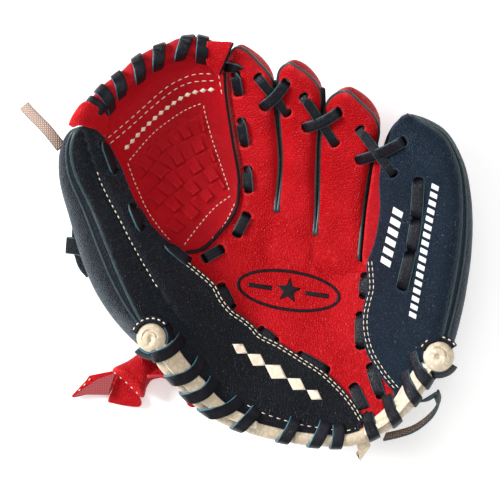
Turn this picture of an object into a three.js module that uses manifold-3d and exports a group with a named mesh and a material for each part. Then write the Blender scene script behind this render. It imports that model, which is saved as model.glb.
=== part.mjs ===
// A youth fielder's baseball glove for the left hand, lying on its back with the palm up.
// Millimetres. +Z is up, +Y points to the fingertips and +X to the little finger.
// The leather of the palm side is laid over one bowl-shaped surface. Every panel, lace and
// welt is placed by its plan position and its distance from that surface.
import * as THREE from 'three';
import Module from 'manifold-3d';

const wasm = await Module();
wasm.setup();

// ---------------------------------------------------------------- driving dimensions

const LEATHER = 2.0; // shell leather thickness
const PAD = 3.0; // felt pad under the palm
const LINING = 0.9; // lining leather thickness
const GAP = 0.3; // clearance between neighbours that touch on the real glove
const LAYER_GAP = 0.8; // clearance between stacked sheets, measured upright
const LACE_ROOM = 3.3; // space under the shell leather where the laces run
const LACE_WIDTH = 5.5;
const LACE_THICKNESS = 1.2;
const LACE_ABOVE = 1.2; // height of a lace's middle where it shows on top of the leather
const LACE_BELOW = -3.1; // height of its middle where it runs under the leather
const LACE_END = -1.4; // height of its middle where it ends inside its eyelet
const EYELET_CLEARANCE = 0.4; // play between a lace and its eyelet
const WELT_RADIUS = 0.8;
const WELT_OFFSET = 1.6; // from a finger's seam line to the welt's middle
const OUTER_WELT_OFFSET = 2.4; // the same on the thumb and the little finger
const STRAP_WIDTH = 15;
const STRAP_THICKNESS = 2.2;
const BACK_PANEL_THICKNESS = 2.0;
const CLOSE_ANGLE = 40; // degrees that the thumb side and the little-finger side can fold in
const FOLD_SLIT = 0.4; // half of the slit left along each fold line
const SEAM_CURVE = 0.8; // exponent of the stalls' half-oval sections
const FRAME_SHIFT = [-6.647, 0.075, 0]; // brings the resting box's centre onto the origin

// Fold lines: two points of each hinge axis.
const THUMB_FOLD = [[-25, -74, 48], [-69, 60, 58]];
const PINKY_FOLD = [[53, -96, 42], [64, 67, 56]];

// Heights of the bowl surface at hand-set spots: x, y, height.
const BOWL_SPOTS = [
  [40, -97, 40], [10, -93, 42], [-17, -81, 46], [-37, -64, 53], [-49, -42, 60],
  [67, -93, 44], [82, -77, 50], [95, -51, 60],
  [0, -65, 41], [30, -65, 38], [55, -65, 39],
  [-25, -40, 45], [0, -40, 36], [30, -40, 34], [55, -40, 36], [75, -40, 47],
  [-63, -15, 63], [-48, -15, 54], [-30, -15, 42], [-5, -15, 33], [30, -15, 31],
  [57, -15, 36], [77, -15, 50], [102, -15, 65],
  [-77, 15, 66], [-63, 15, 58], [-48, 15, 46], [-25, 15, 33], [5, 15, 30],
  [35, 15, 32], [57, 15, 38], [80, 15, 53], [104, 15, 69],
  [-88, 45, 70], [-77, 45, 64], [-62, 45, 48], [-42, 45, 37], [-15, 45, 34],
  [5, 45, 37], [30, 45, 41], [60, 45, 49], [82, 45, 61], [101, 45, 73],
  [-82, 62, 73], [-65, 70, 58], [-42, 70, 45], [-18, 72, 43], [5, 72, 49],
  [35, 70, 56], [62, 65, 65], [85, 62, 76],
  [-57, 90, 64], [-30, 101, 63], [-7, 100, 67], [20, 92, 70], [47, 79, 72],
];

// ---------------------------------------------------------------- numbers and curves

const mix = (a, b, t) => a + (b - a) * t;
const mixAll = (a, b, t) => a.map((value, i) => mix(value, b[i], t));
const plus = (a, b, scale = 1) => a.map((value, i) => value + b[i] * scale);
const minus = (a, b) => plus(a, b, -1);
const times = (a, scale) => a.map((value) => value * scale);
const dot = (a, b) => a.reduce((sum, value, i) => sum + value * b[i], 0);
const cross = (a, b) => [
  a[1] * b[2] - a[2] * b[1], a[2] * b[0] - a[0] * b[2], a[0] * b[1] - a[1] * b[0],
];
const unit = (a) => times(a, 1 / Math.hypot(...a));
const steps = (count) => Array.from({ length: count + 1 }, (_, i) => i / count);

// A smooth curve through rows of numbers: Catmull-Rom, with its ends carried straight on.
function through(rows) {
  const last = rows.length - 1;
  const row = (i) => {
    if (i < 0) return minus(times(rows[0], 2), rows[1]);
    if (i > last) return minus(times(rows[last], 2), rows[last - 1]);
    return rows[i];
  };
  return (t) => {
    const place = t * last;
    const i = Math.min(Math.max(Math.floor(place), 0), last - 1);
    const f = place - i;
    return rows[0].map((_, k) => {
      const [a, b, c, d] = [row(i - 1)[k], row(i)[k], row(i + 1)[k], row(i + 2)[k]];
      const curve = 2 * a - 5 * b + 4 * c - d;
      const twist = 3 * (b - c) + d - a;
      return b + f * 0.5 * (c - a + f * (curve + f * twist));
    });
  };
}

// Gaussian elimination with row swaps.
function solve(matrix, values) {
  const rows = matrix.map((line, i) => [...line, values[i]]);
  const size = rows.length;
  for (let column = 0; column < size; column += 1) {
    let best = column;
    for (let i = column + 1; i < size; i += 1) {
      if (Math.abs(rows[i][column]) > Math.abs(rows[best][column])) best = i;
    }
    [rows[column], rows[best]] = [rows[best], rows[column]];
    for (let i = 0; i < size; i += 1) {
      if (i === column) continue;
      const factor = rows[i][column] / rows[column][column];
      for (let k = column; k <= size; k += 1) rows[i][k] -= factor * rows[column][k];
    }
  }
  return rows.map((line, i) => line[size] / line[i]);
}

// A thin plate bent to pass through every spot.
function thinPlate(spots) {
  const bend = (dx, dy) => {
    const square = dx * dx + dy * dy;
    return square > 0 ? square * Math.log(square) : 0;
  };
  const flat = ([x, y]) => [1, x, y];
  const matrix = spots.map((a) => [
    ...spots.map((b) => bend(a[0] - b[0], a[1] - b[1])), ...flat(a),
  ]);
  for (let k = 0; k < 3; k += 1) {
    matrix.push([...spots.map((spot) => flat(spot)[k]), 0, 0, 0]);
  }
  const weights = solve(matrix, [...spots.map((spot) => spot[2]), 0, 0, 0]);
  const plane = weights.slice(spots.length);
  return (x, y) => spots.reduce(
    (sum, spot, i) => sum + weights[i] * bend(x - spot[0], y - spot[1]),
    dot(plane, flat([x, y])),
  );
}

const bowl = thinPlate(BOWL_SPOTS);
const onBowl = ([x, y], lift = 0) => [x, y, bowl(x, y) + lift];

// ---------------------------------------------------------------- closed solids

// Skins a row of rings that all have the same even number of points. Each end is closed by
// joining the ring's first half to its second half.
function loft(rings) {
  const count = rings[0].length;
  const at = (ring, point) => ring * count + (point % count);
  const triangles = [];
  const quad = (a, b, c, d) => triangles.push([a, b, c], [a, c, d]);
  for (let ring = 0; ring < rings.length - 1; ring += 1) {
    for (let p = 0; p < count; p += 1) {
      quad(at(ring, p), at(ring, p + 1), at(ring + 1, p + 1), at(ring + 1, p));
    }
  }
  const end = rings.length - 1;
  for (let p = 0; p < count / 2 - 1; p += 1) {
    const [first, second] = [count - 1 - p, count - 2 - p];
    quad(at(0, first), at(0, second), at(0, p + 1), at(0, p));
    quad(at(end, p), at(end, p + 1), at(end, second), at(end, first));
  }
  return solidOf(rings.flat(), triangles);
}

function solidOf(vertices, triangles) {
  const volume = triangles.reduce(
    (sum, [a, b, c]) => sum + dot(vertices[a], cross(vertices[b], vertices[c])), 0,
  );
  const outward = volume < 0 ? triangles.map(([a, b, c]) => [a, c, b]) : triangles;
  return new wasm.Manifold(new wasm.Mesh({
    numProp: 3,
    vertProperties: new Float32Array(vertices.flat()),
    triVerts: new Uint32Array(outward.flat()),
  }));
}

// A sheet of leather between two distances from a surface(u, v, lift).
function sheet(surface, across, along, outer, inner, from = 0, to = 1) {
  return loft(steps(across).map((k) => {
    const u = mix(from, to, k);
    const top = steps(along).map((v) => surface(u, v, outer));
    const bottom = steps(along).map((v) => surface(u, v, inner)).reverse();
    return [...top, ...bottom];
  }));
}

const tangents = (points) => points.map((_, i) => unit(minus(
  points[Math.min(i + 1, points.length - 1)], points[Math.max(i - 1, 0)],
)));

// A flat strip along points. Each point's up vector is square to the strip's face.
function strip(points, ups, width, thickness) {
  const forward = tangents(points);
  return loft(points.map((point, i) => {
    const side = unit(cross(forward[i], ups[i]));
    const up = cross(side, forward[i]);
    const corner = (a, b) => plus(plus(point, side, (a * width) / 2), up, (b * thickness) / 2);
    return [corner(1, 1), corner(-1, 1), corner(-1, -1), corner(1, -1)];
  }));
}

// A round tube along points that never run straight up. The radius may change along it.
function tube(points, radiusAt, sides) {
  const forward = tangents(points);
  return loft(points.map((point, i) => {
    const side = unit(cross(forward[i], [0, 0, 1]));
    const up = cross(side, forward[i]);
    const radius = radiusAt(i / (points.length - 1));
    return steps(sides).slice(1).map((k) => {
      const angle = (k - 0.5 / sides) * 2 * Math.PI;
      return plus(plus(point, side, radius * Math.cos(angle)), up, radius * Math.sin(angle));
    });
  }));
}

// The largest piece that is left after the cutters have been taken away.
const SLIVER = 0.1;
function trimmed(solid, cutters) {
  let left = solid;
  for (const cutter of cutters) left = left.subtract(cutter);
  left = left.simplify(SLIVER);
  return left.decompose().reduce((a, b) => (a.volume() >= b.volume() ? a : b));
}

// ---------------------------------------------------------------- fold slits

// The room that a fold needs: a slit below the hinge axis, opening into a V above it so that
// the folding side swings in without touching.
function foldSlit([start, end]) {
  const along = unit(minus(end, start));
  const side = unit(cross(along, [0, 0, 1]));
  const up = cross(side, along);
  const reach = 120;
  const spread = FOLD_SLIT + reach * Math.tan(THREE.MathUtils.degToRad(CLOSE_ANGLE / 2));
  const outline = [
    [-FOLD_SLIT, -reach], [-FOLD_SLIT, 0], [-spread, reach],
    [spread, reach], [FOLD_SLIT, 0], [FOLD_SLIT, -reach],
  ];
  return loft([plus(start, along, -reach), plus(end, along, reach)].map(
    (centre) => outline.map(([d, h]) => plus(plus(centre, side, d), up, h)),
  ));
}

// Everything on the far side of a fold is cut away too, so that a strip which crosses the
// fold can be made once and shared out among the bodies.
function farSide([start, end], sign) {
  const along = unit(minus(end, start));
  const side = unit(cross(along, [0, 0, 1]));
  const reach = 300;
  const corners = [[0, -reach], [0, reach], [sign * reach, reach], [sign * reach, -reach]];
  return loft([plus(start, along, -reach), plus(end, along, reach)].map(
    (centre) => corners.map(([d, h]) => plus(plus(centre, side, d), [0, 0, 1], h)),
  ));
}

const thumbSlit = foldSlit(THUMB_FOLD);
const pinkySlit = foldSlit(PINKY_FOLD);
const BODY_CUTTERS = {
  palm: [thumbSlit, farSide(THUMB_FOLD, -1), pinkySlit, farSide(PINKY_FOLD, 1)],
  thumb_side: [thumbSlit, farSide(THUMB_FOLD, 1)],
  pinky_side: [pinkySlit, farSide(PINKY_FOLD, -1)],
};

// ---------------------------------------------------------------- the group

const glove = new THREE.Group();

const LOOKS = {
  red_leather: { color: 0xc8101c, roughness: 0.5, metalness: 0 },
  black_leather: { color: 0x15171c, roughness: 0.5, metalness: 0 },
  navy_leather: { color: 0x141c2c, roughness: 0.5, metalness: 0 },
  welt: { color: 0x16282c, roughness: 0.45, metalness: 0 },
  lace: { color: 0x14161f, roughness: 0.55, metalness: 0 },
  cream_leather: { color: 0xe8dcc8, roughness: 0.6, metalness: 0 },
  tan_lining: { color: 0xb09a7c, roughness: 0.8, metalness: 0 },
  felt: { color: 0xd8d2c4, roughness: 0.95, metalness: 0 },
  insert: { color: 0x2a2a2a, roughness: 0.7, metalness: 0 },
};
const materials = Object.fromEntries(
  Object.entries(LOOKS).map(([name, look]) => [name, new THREE.MeshStandardMaterial(look)]),
);

function add(name, material, body, solid, cutters = []) {
  const mesh = trimmed(solid, [...BODY_CUTTERS[body], ...cutters]).getMesh();
  const geometry = new THREE.BufferGeometry();
  geometry.setAttribute('position', new THREE.BufferAttribute(mesh.vertProperties, 3));
  geometry.setIndex(new THREE.BufferAttribute(mesh.triVerts, 1));
  geometry.computeVertexNormals();
  const part = new THREE.Mesh(geometry, materials[material]);
  part.name = name;
  glove.add(part);
}

// ---------------------------------------------------------------- laces

// A lace that dips under a surface and comes back up, once for each dash that shows.
// route(k) gives the surface's u and v, and the two ends stay under the leather.
function stitchedLace(surface, route, dashes, stepsPerDash) {
  const middle = (LACE_ABOVE + LACE_BELOW) / 2;
  const swing = (LACE_ABOVE - LACE_BELOW) / 2;
  const place = (k, extra = 0) => {
    const [u, v] = route(k);
    return surface(u, v, middle - swing * Math.cos(2 * Math.PI * dashes * k) + extra);
  };
  const ks = steps(dashes * stepsPerDash);
  return laceAndEyelets(ks.map((k) => place(k)), ks.map((k) => minus(place(k, 1), place(k))));
}

// A lace that goes down through the leather at both ends and shows in between.
function bridgeLace(surface, route, rise, count) {
  const place = (k, extra = 0) => {
    const [u, v, raise = 0] = route(k);
    const arch = Math.min(1, Math.sin(Math.PI * k) * 1.6);
    return surface(u, v, mix(LACE_END, rise, arch) + raise + extra);
  };
  const ks = steps(count);
  return laceAndEyelets(ks.map((k) => place(k)), ks.map((k) => minus(place(k, 1), place(k))));
}

function laceAndEyelets(points, ups) {
  const play = 2 * EYELET_CLEARANCE;
  return {
    lace: strip(points, ups, LACE_WIDTH, LACE_THICKNESS),
    eyelets: strip(points, ups, LACE_WIDTH + play, LACE_THICKNESS + play),
  };
}

const joined = (laces) => ({
  lace: laces.map((one) => one.lace).reduce((a, b) => a.add(b)),
  eyelets: laces.map((one) => one.eyelets).reduce((a, b) => a.add(b)),
});

// A lace wound round a roll: turns counts the wraps.
const WRAP_STEPS = 7; // straight stretches in one turn
const woundRadius = (radius) => (
  (radius + 2 * GAP + LACE_THICKNESS / 2) / Math.cos(Math.PI / WRAP_STEPS)
);
function woundLace(path, radiusAt, turns, from, to) {
  const ks = steps(turns * WRAP_STEPS);
  const centres = ks.map((k) => path(mix(from, to, k)));
  const forward = tangents(centres);
  const ups = ks.map((k, i) => {
    const side = unit(cross(forward[i], [0, 0, 1]));
    const up = cross(side, forward[i]);
    const angle = 2 * Math.PI * turns * k;
    return plus(times(side, Math.cos(angle)), up, Math.sin(angle));
  });
  const points = centres.map(
    (centre, i) => plus(centre, ups[i], woundRadius(radiusAt(mix(from, to, ks[i])))),
  );
  return strip(points, ups, LACE_WIDTH, LACE_THICKNESS);
}

// ---------------------------------------------------------------- finger stalls

// One row per station from the open end to the tip:
// left edge x and y, right edge x and y, crown of the front, depth of the back, and how far
// the back's own edge lies below the seam on the left and on the right.
const STALLS = {
  index: [
    [-4.0, 22, 11.2, 19.5, 7, 20, 0, 0], [-4.2, 33, 12.8, 32, 7, 21, 0, 0],
    [-4.8, 44, 13.0, 46, 7, 20, 0, 0], [-7.8, 58, 11.6, 59, 6.5, 18, 0, 0],
    [-9.8, 72, 10.6, 71, 6, 16, 0, 0], [-11.0, 86, 10.0, 82, 6, 14, 0, 0],
    [-10.0, 95, 6.5, 91.5, 5, 11, 0, 0], [-5.5, 100, 0, 98, 2, 4, 0, 0],
  ],
  middle: [
    [15.6, 18, 31.1, 9, 7, 21, 0, 0], [17.2, 31, 32.3, 23, 7, 22, 0, 0],
    [17.5, 46, 32.3, 38.5, 7, 20, 0, 0], [16.0, 58, 32.3, 52, 6.5, 18, 0, 0],
    [15.2, 70, 33.5, 64, 6, 15, 0, 0], [14.9, 80, 33.8, 74, 6, 13, 0, 0],
    [16.0, 87, 30.0, 82, 5, 10, 0, 0], [19.0, 91, 23.5, 89, 2, 4, 0, 0],
  ],
  ring: [
    [35.5, 7, 53.3, -4, 7, 23, 0, 0], [36.7, 20, 55.6, 10, 7, 24, 0, 0],
    [36.7, 34, 57.2, 24, 7, 22, 0, 0], [36.7, 47, 58.5, 37, 6.5, 19, 0, 0],
    [38.0, 58, 60.3, 48, 6, 16, 0, 0], [38.8, 67, 60.5, 58, 6, 13, 0, 0],
    [41.5, 75, 56.0, 68, 5, 10, 0, 0], [45.5, 77.5, 50.0, 75.5, 2, 4, 0, 0],
  ],
  thumb: [
    [-51.0, -38, -28.0, -68, 4, 22, 0, 45], [-57.0, -26, -36.0, -46, 4, 24, 0, 46],
    [-65.0, -12, -43.0, -24, 5, 24, 0, 46], [-73.0, 4, -50.5, -2, 5.5, 23, 0, 45],
    [-80.0, 21, -57.5, 18, 5.5, 21, 0, 43], [-86.0, 37, -63.5, 35, 5.5, 18, 0, 33],
    [-87.5, 48, -69.0, 47, 5.5, 14, 0, 20], [-85.0, 56.5, -74.5, 55.5, 4.5, 9, 0, 8],
    [-81.8, 59.5, -78.0, 59, 2, 3, 0, 0],
  ],
  pinky: [
    [56.0, -90, 92.0, -46, 4, 18, 36, 0], [58.0, -62, 97.0, -30, 4.5, 20, 34, 0],
    [59.5, -40, 100.5, -15, 5.5, 21, 33, 0], [61.0, -18, 103.0, 3, 6, 21, 33, 0],
    [62.5, 4, 104.5, 18, 6, 20, 33, 0], [64.0, 24, 104.0, 33, 6, 18, 30, 0],
    [65.5, 41, 100.0, 46.5, 6, 15, 24, 0], [68.0, 54, 92.0, 56.5, 5.5, 11, 15, 0],
    [71.5, 61, 84.0, 61, 4.5, 7, 6, 0], [75.5, 64.5, 79.0, 64, 2, 3, 0, 0],
  ],
};
const OUTER_SEAM_DROP = 1.0; // thumb and little finger: the seam lies near the bowl's rim
const STALL_STEPS = 9;
const SECTION_STEPS = 5;
const LINER_STATIONS = 7; // a stall's lining ends at this many of its STALL_STEPS
const LINER_GAP = 0.7;
const SEAM_GAP = 0.2; // each shell stands this far from the seam plane

function makeStall(rows, isFinger) {
  const station = through(rows);
  // The seam's two edges, the back's own two edges and the two bulges at t.
  const frameAt = (t) => {
    const [lx, ly, rx, ry, crown, depth, lowLeft, lowRight] = station(t);
    const drop = isFinger ? crown : OUTER_SEAM_DROP;
    const left = onBowl([lx, ly], -drop);
    const right = onBowl([rx, ry], -drop);
    return {
      left, right, crown, depth,
      backLeft: plus(left, [0, 0, -lowLeft]),
      backRight: plus(right, [0, 0, -lowRight]),
    };
  };
  const aheadAt = (t) => {
    const [a, b] = [frameAt(t - 0.01), frameAt(t + 0.01)];
    return unit(minus(mixAll(b.left, b.right, 0.5), mixAll(a.left, a.right, 0.5)));
  };
  // A point of a half-oval over the chord from one edge to the other, inset by depth.
  const oval = (from, to, normal, bulge, s, inset) => {
    const chord = unit(minus(to, from));
    const a = plus(from, chord, inset);
    const b = plus(to, chord, -inset);
    const base = mixAll(a, b, (1 - Math.cos(Math.PI * s)) / 2);
    const height = Math.max(bulge - inset, 0.25) * Math.sin(Math.PI * s) ** SEAM_CURVE;
    return plus(base, normal, height);
  };
  const front = (t, s, lift) => {
    const at = frameAt(t);
    const normal = unit(cross(minus(at.right, at.left), aheadAt(t)));
    const point = oval(at.left, at.right, normal, at.crown, s, Math.max(-lift, 0));
    return plus(point, normal, SEAM_GAP + Math.max(lift, 0));
  };
  const back = (t, s, lift) => {
    const at = frameAt(t);
    const normal = unit(cross(aheadAt(t), minus(at.backRight, at.backLeft)));
    const inset = Math.max(-lift, 0);
    const point = oval(at.backLeft, at.backRight, normal, at.depth, s, inset);
    return plus(point, normal, SEAM_GAP + Math.max(lift, 0));
  };
  return { frameAt, aheadAt, front, back };
}

const stalls = Object.fromEntries(Object.entries(STALLS).map(
  ([name, rows]) => [name, makeStall(rows, !['thumb', 'pinky'].includes(name))],
));

const frontShell = (stall) => sheet(stall.front, STALL_STEPS, SECTION_STEPS, 0, -LEATHER);
const backShell = (stall) => sheet(stall.back, STALL_STEPS, SECTION_STEPS, 0, -LEATHER);

// A welt runs outside the seam: up one side, round the tip and down the other side.
function weltPoints(stall, sides) {
  const offset = sides === 'both' ? WELT_OFFSET : OUTER_WELT_OFFSET;
  const beside = (t, sign) => {
    const at = stall.frameAt(t);
    const chord = unit(minus(at.right, at.left));
    return plus(sign < 0 ? at.left : at.right, chord, sign * offset);
  };
  const at = stall.frameAt(1);
  const tip = plus(mixAll(at.left, at.right, 0.5), stall.aheadAt(1), OUTER_WELT_OFFSET);
  const ts = steps(STALL_STEPS);
  const up = ts.map((t) => beside(t, -1));
  const down = ts.map((t) => beside(t, 1)).reverse();
  if (sides === 'left') return [...up, tip];
  if (sides === 'right') return [tip, ...down];
  return [...up, tip, ...down];
}
const welt = (stall, sides) => tube(weltPoints(stall, sides), () => WELT_RADIUS, 4);

// The lining of a stall: a sock that is open at the hand's end. It leaves room for the laces
// under the front.
function liner(stall, firstStation) {
  const inset = LEATHER + LINER_GAP;
  const ring = (t, depth) => {
    const top = steps(SECTION_STEPS).map((s) => plus(
      stall.front(t, s, -inset - depth), [0, 0, -LACE_ROOM * Math.sin(Math.PI * s)],
    ));
    const bottom = steps(SECTION_STEPS).map((s) => stall.back(t, s, -inset - depth));
    return [...top, ...bottom.reverse()];
  };
  const count = LINER_STATIONS - firstStation;
  const ts = steps(count).map((k) => (firstStation + k * count) / STALL_STEPS);
  const past = 0.03;
  const outer = loft(ts.map((t) => ring(t, 0)));
  const hollow = loft([ts[0] - past, ...ts.slice(1, -1), ts[count] - past].map(
    (t) => ring(t, LINING),
  ));
  return outer.subtract(hollow);
}

// ---------------------------------------------------------------- panels on the bowl

// A patch between four curves that meet at its corners, laid on the bowl.
function patch({ bottom, top, left, right }) {
  const [low, high] = [through(bottom), through(top)];
  const straight = (a, b) => (k) => mixAll(a, b, k);
  const west = left ? through(left) : straight(low(0), high(0));
  const east = right ? through(right) : straight(low(1), high(1));
  return (u, v, lift) => {
    const plan = [0, 1].map((k) => (
      mix(low(u)[k], high(u)[k], v) + mix(west(v)[k], east(v)[k], u)
      - mix(mix(low(0)[k], low(1)[k], u), mix(high(0)[k], high(1)[k], u), v)
    ));
    return onBowl(plan, lift);
  };
}

const PALM_OUTLINE = {
  bottom: [[-33.5, -4.5], [-20, -16.5], [-11, -28], [-2.5, -34.5], [8, -45.5], [20, -53.5],
    [34, -61], [44.5, -68.5], [53, -80]],
  top: [[-31, -2.2], [-22, 0], [-13, 6], [-7.5, 15], [-4, 20.2], [11, 17.8], [15.6, 16.6],
    [31, 7.7], [35.5, 4.6], [53.5, -6.6], [58, -8.6]],
};
const HEEL_CENTER_OUTLINE = {
  bottom: [[-27, -73.8], [-15.5, -82], [-4, -87], [11.5, -91.5], [28, -94.5], [41.5, -96],
    [53, -94.5]],
  top: [[-50, 3], [-40, 1], [-34.5, -5.5], [-20.5, -17.5], [-11.5, -29], [-3, -35.6],
    [7.5, -46.6], [19.5, -54.6], [33.5, -62.2], [44, -69.6], [52, -80.6]],
};
const LAYER_OUTLINE = {
  bottom: [[-25, -73], [-8, -84], [12, -90], [32, -93.5], [53, -93]],
  top: [[-47, -2], [-22, -3], [-8, 10], [0, 16], [12, 14.5], [22, 9], [36, 2], [56, -9]],
};
const WEB_OUTLINE = {
  left: [[-36.5, -0.5], [-42, 5], [-49, 13], [-55, 24], [-61, 41], [-65.5, 57], [-68, 70]],
  right: [[-31, -0.8], [-24, 1.5], [-15, 8], [-9, 18], [-8, 30], [-8.4, 42], [-11.2, 55],
    [-13.4, 68], [-14.6, 79], [-15, 90]],
  bottom: [[-36.5, -0.5], [-33.5, -1.2], [-31, -0.8]],
  top: [[-68, 70], [-61, 77.5], [-52, 85.5], [-43.5, 90.5], [-33.5, 94], [-25, 94],
    [-15, 90]],
};

const palm = patch(PALM_OUTLINE);
const heelCenter = patch(HEEL_CENTER_OUTLINE);
const layer = patch(LAYER_OUTLINE);
const web = patch(WEB_OUTLINE);

// ---------------------------------------------------------------- heel roll and web roll

const HEEL_LINE = [
  [-49.5, -42], [-43, -55.5], [-35.5, -64.5], [-27, -73.8], [-15.5, -82], [-4, -87],
  [11.5, -91.5], [28, -94.5], [41.5, -96], [53, -94.5], [61.5, -92], [69.5, -88.5],
  [78, -81.5], [84.5, -74.5], [90, -65], [93.5, -54],
];
const HEEL_RADII = [[6.5], [5], [4.2], [3.6], [3.5], [3.5], [3.5], [4], [4.8], [6.2]];
const HEEL_DROP = 1.5; // the roll's middle lies a little under the bowl
const HEEL_WRAPS = { thumb: 4, center: 6, pinky: 4 };
const heelLine = through(HEEL_LINE.map((spot) => onBowl(spot, -HEEL_DROP)));
const heelRadius = (t) => through(HEEL_RADII)(t)[0];
const heelPath = (count) => steps(count).map(heelLine);
const heelRoll = tube(heelPath(22), heelRadius, 7);
const ROOM_SIDES = 8;
const roomRadius = (t) => (woundRadius(heelRadius(t)) + LACE_THICKNESS / 2 + GAP)
  / Math.cos(Math.PI / ROOM_SIDES);
const heelRoom = tube(
  [plus(heelLine(0), minus(heelLine(0), heelLine(0.02))), ...heelPath(14),
    plus(heelLine(1), minus(heelLine(1), heelLine(0.98)))],
  roomRadius, ROOM_SIDES,
);

const WEB_RIM = [
  [-71, 78], [-65.5, 83.5], [-56, 91.5], [-46.5, 97], [-34.5, 101], [-26, 102],
  [-20.5, 101], [-16.5, 98],
];
const WEB_ROLL_RADIUS = 3.6;
const WEB_WRAPS = 7;
const webRim = through(WEB_RIM.map((spot) => onBowl(spot)));

// ---------------------------------------------------------------- laces in place

const indexRoute = through([[0.08, 0.25], [0.5, 0.28], [0.86, 0.3]]);
const webIndexLace = stitchedLace(stalls.index.front, indexRoute, 3, 6);
const thumbRoute = through([[0.42, 0.72], [0.65, 0.74], [0.88, 0.7]]);
const webThumbLace = stitchedLace(stalls.thumb.front, thumbRoute, 2, 7);
const pinkyRoute = through([[0.34, 0.5], [0.5, 0.5], [0.68, 0.5]]);
const pinkyLace = stitchedLace(stalls.pinky.front, pinkyRoute, 3, 6);
const bowlSurface = (x, y, lift) => onBowl([x, y], lift);
const palmLeftRoute = through([[-18, -14], [-8, -29], [3, -40], [16, -50.5], [30, -58]]);
const palmLaceLeft = stitchedLace(bowlSurface, palmLeftRoute, 3, 6);
const palmRightRoute = through([[53, -14], [51.5, -28], [50, -43], [48, -58]]);
const palmLaceRight = stitchedLace(bowlSurface, palmRightRoute, 2, 6);
const webBaseRoute = through([[-27, -9], [-20, -6], [-13, -1], [-7, 6]]);
const webBaseLace = bridgeLace(bowlSurface, webBaseRoute, LACE_ABOVE, 7);

// Two strands that cross between neighbouring fingertips.
function crossedLace(first, second) {
  const over = LACE_ABOVE + LACE_THICKNESS / 2;
  return joined([
    bridgeLace(bowlSurface, through(first), LACE_ABOVE, 7),
    bridgeLace(bowlSurface, through(second), over, 7),
  ]);
}
const indexMiddleLace = crossedLace([[3.5, 85.5], [19.5, 66]], [[5.5, 71], [19.5, 83.5]]);
const middleRingLace = crossedLace([[27.5, 76.5], [43.5, 52]], [[27.5, 61], [44.5, 67.5]]);
const ringPinkyLace = crossedLace(
  [[54, 61, 0], [71.5, 38, 6]], [[54, 45.5, 0], [76, 52.5, 6]],
);

// ---------------------------------------------------------------- palm body

add('palm_shell', 'red_leather', 'palm', sheet(palm, 10, 6, 0, -LEATHER),
  [palmLaceLeft.eyelets, palmLaceRight.eyelets, webBaseLace.eyelets, heelRoom]);
add('heel_center_panel', 'black_leather', 'palm', sheet(heelCenter, 10, 5, 0, -LEATHER),
  [palmLaceLeft.eyelets, heelRoom]);
const padTop = -LEATHER - LACE_ROOM;
const liningTop = padTop - PAD - LAYER_GAP;
add('palm_pad', 'felt', 'palm', sheet(layer, 9, 7, padTop, padTop - PAD), [heelRoom]);
add('palm_liner', 'tan_lining', 'palm', sheet(layer, 9, 7, liningTop, liningTop - LINING),
  [heelRoom]);

const FINGER_CUTTERS = {
  index: [webIndexLace.eyelets, indexMiddleLace.eyelets],
  middle: [indexMiddleLace.eyelets, middleRingLace.eyelets],
  ring: [middleRingLace.eyelets, ringPinkyLace.eyelets],
};
for (const [finger, cutters] of Object.entries(FINGER_CUTTERS)) {
  const stall = stalls[finger];
  add(`${finger}_front`, 'red_leather', 'palm', frontShell(stall), cutters);
  add(`${finger}_back`, 'red_leather', 'palm', backShell(stall));
  add(`${finger}_welt`, 'welt', 'palm', welt(stall, 'both'));
  add(`${finger}_liner`, 'tan_lining', 'palm', liner(stall, 0), cutters);
}

const WEB_LAYER = 1.6;
const webBackTop = -WEB_LAYER - LAYER_GAP;
add('web_front_panel', 'red_leather', 'palm', sheet(web, 7, 9, 0, -WEB_LAYER));
add('web_back_panel', 'red_leather', 'palm',
  sheet(web, 7, 9, webBackTop, webBackTop - WEB_LAYER));
add('web_top_roll', 'red_leather', 'palm',
  tube(steps(14).map(webRim), () => WEB_ROLL_RADIUS, 8));
add('web_top_lace', 'lace', 'palm',
  woundLace(webRim, () => WEB_ROLL_RADIUS + GAP, WEB_WRAPS, 0.05, 0.95));
add('web_index_lace', 'lace', 'palm', webIndexLace.lace);
add('web_base_lace', 'lace', 'palm', webBaseLace.lace);
add('index_middle_lace', 'lace', 'palm', indexMiddleLace.lace);
add('middle_ring_lace', 'lace', 'palm', middleRingLace.lace);
add('palm_lace_left', 'lace', 'palm', palmLaceLeft.lace);
add('palm_lace_right', 'lace', 'palm', palmLaceRight.lace);
add('heel_roll_center', 'cream_leather', 'palm', heelRoll);
add('heel_lace_center', 'lace', 'palm',
  woundLace(heelLine, heelRadius, HEEL_WRAPS.center, 0.21, 0.6));

// The back of the hand rests on this panel. Its opening is the hole over the knuckles.
const BACK_OUTLINE = [
  [-20, -64], [-36, -56], [-50, -10], [-52, 10], [-30, 20], [0, 24], [32, 15], [58, -2],
  [60, -30], [57, -56], [30, -63], [5, -65],
];
const BACK_OPENING = { x: 6, y: -28, across: 22, along: 17 };
function handBackPanel() {
  const outline = new THREE.Shape(BACK_OUTLINE.map(([x, y]) => new THREE.Vector2(x, y)));
  const { x, y, across, along } = BACK_OPENING;
  const hole = steps(18).slice(1).map((k) => {
    const angle = k * 2 * Math.PI;
    return [x + across * Math.cos(angle), y + along * Math.sin(angle)];
  });
  outline.holes.push(new THREE.Path(hole.map(([a, b]) => new THREE.Vector2(a, b))));
  const geometry = new THREE.ExtrudeGeometry(outline, {
    depth: BACK_PANEL_THICKNESS, bevelEnabled: false,
  });
  return solidOfGeometry(geometry);
}

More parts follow.
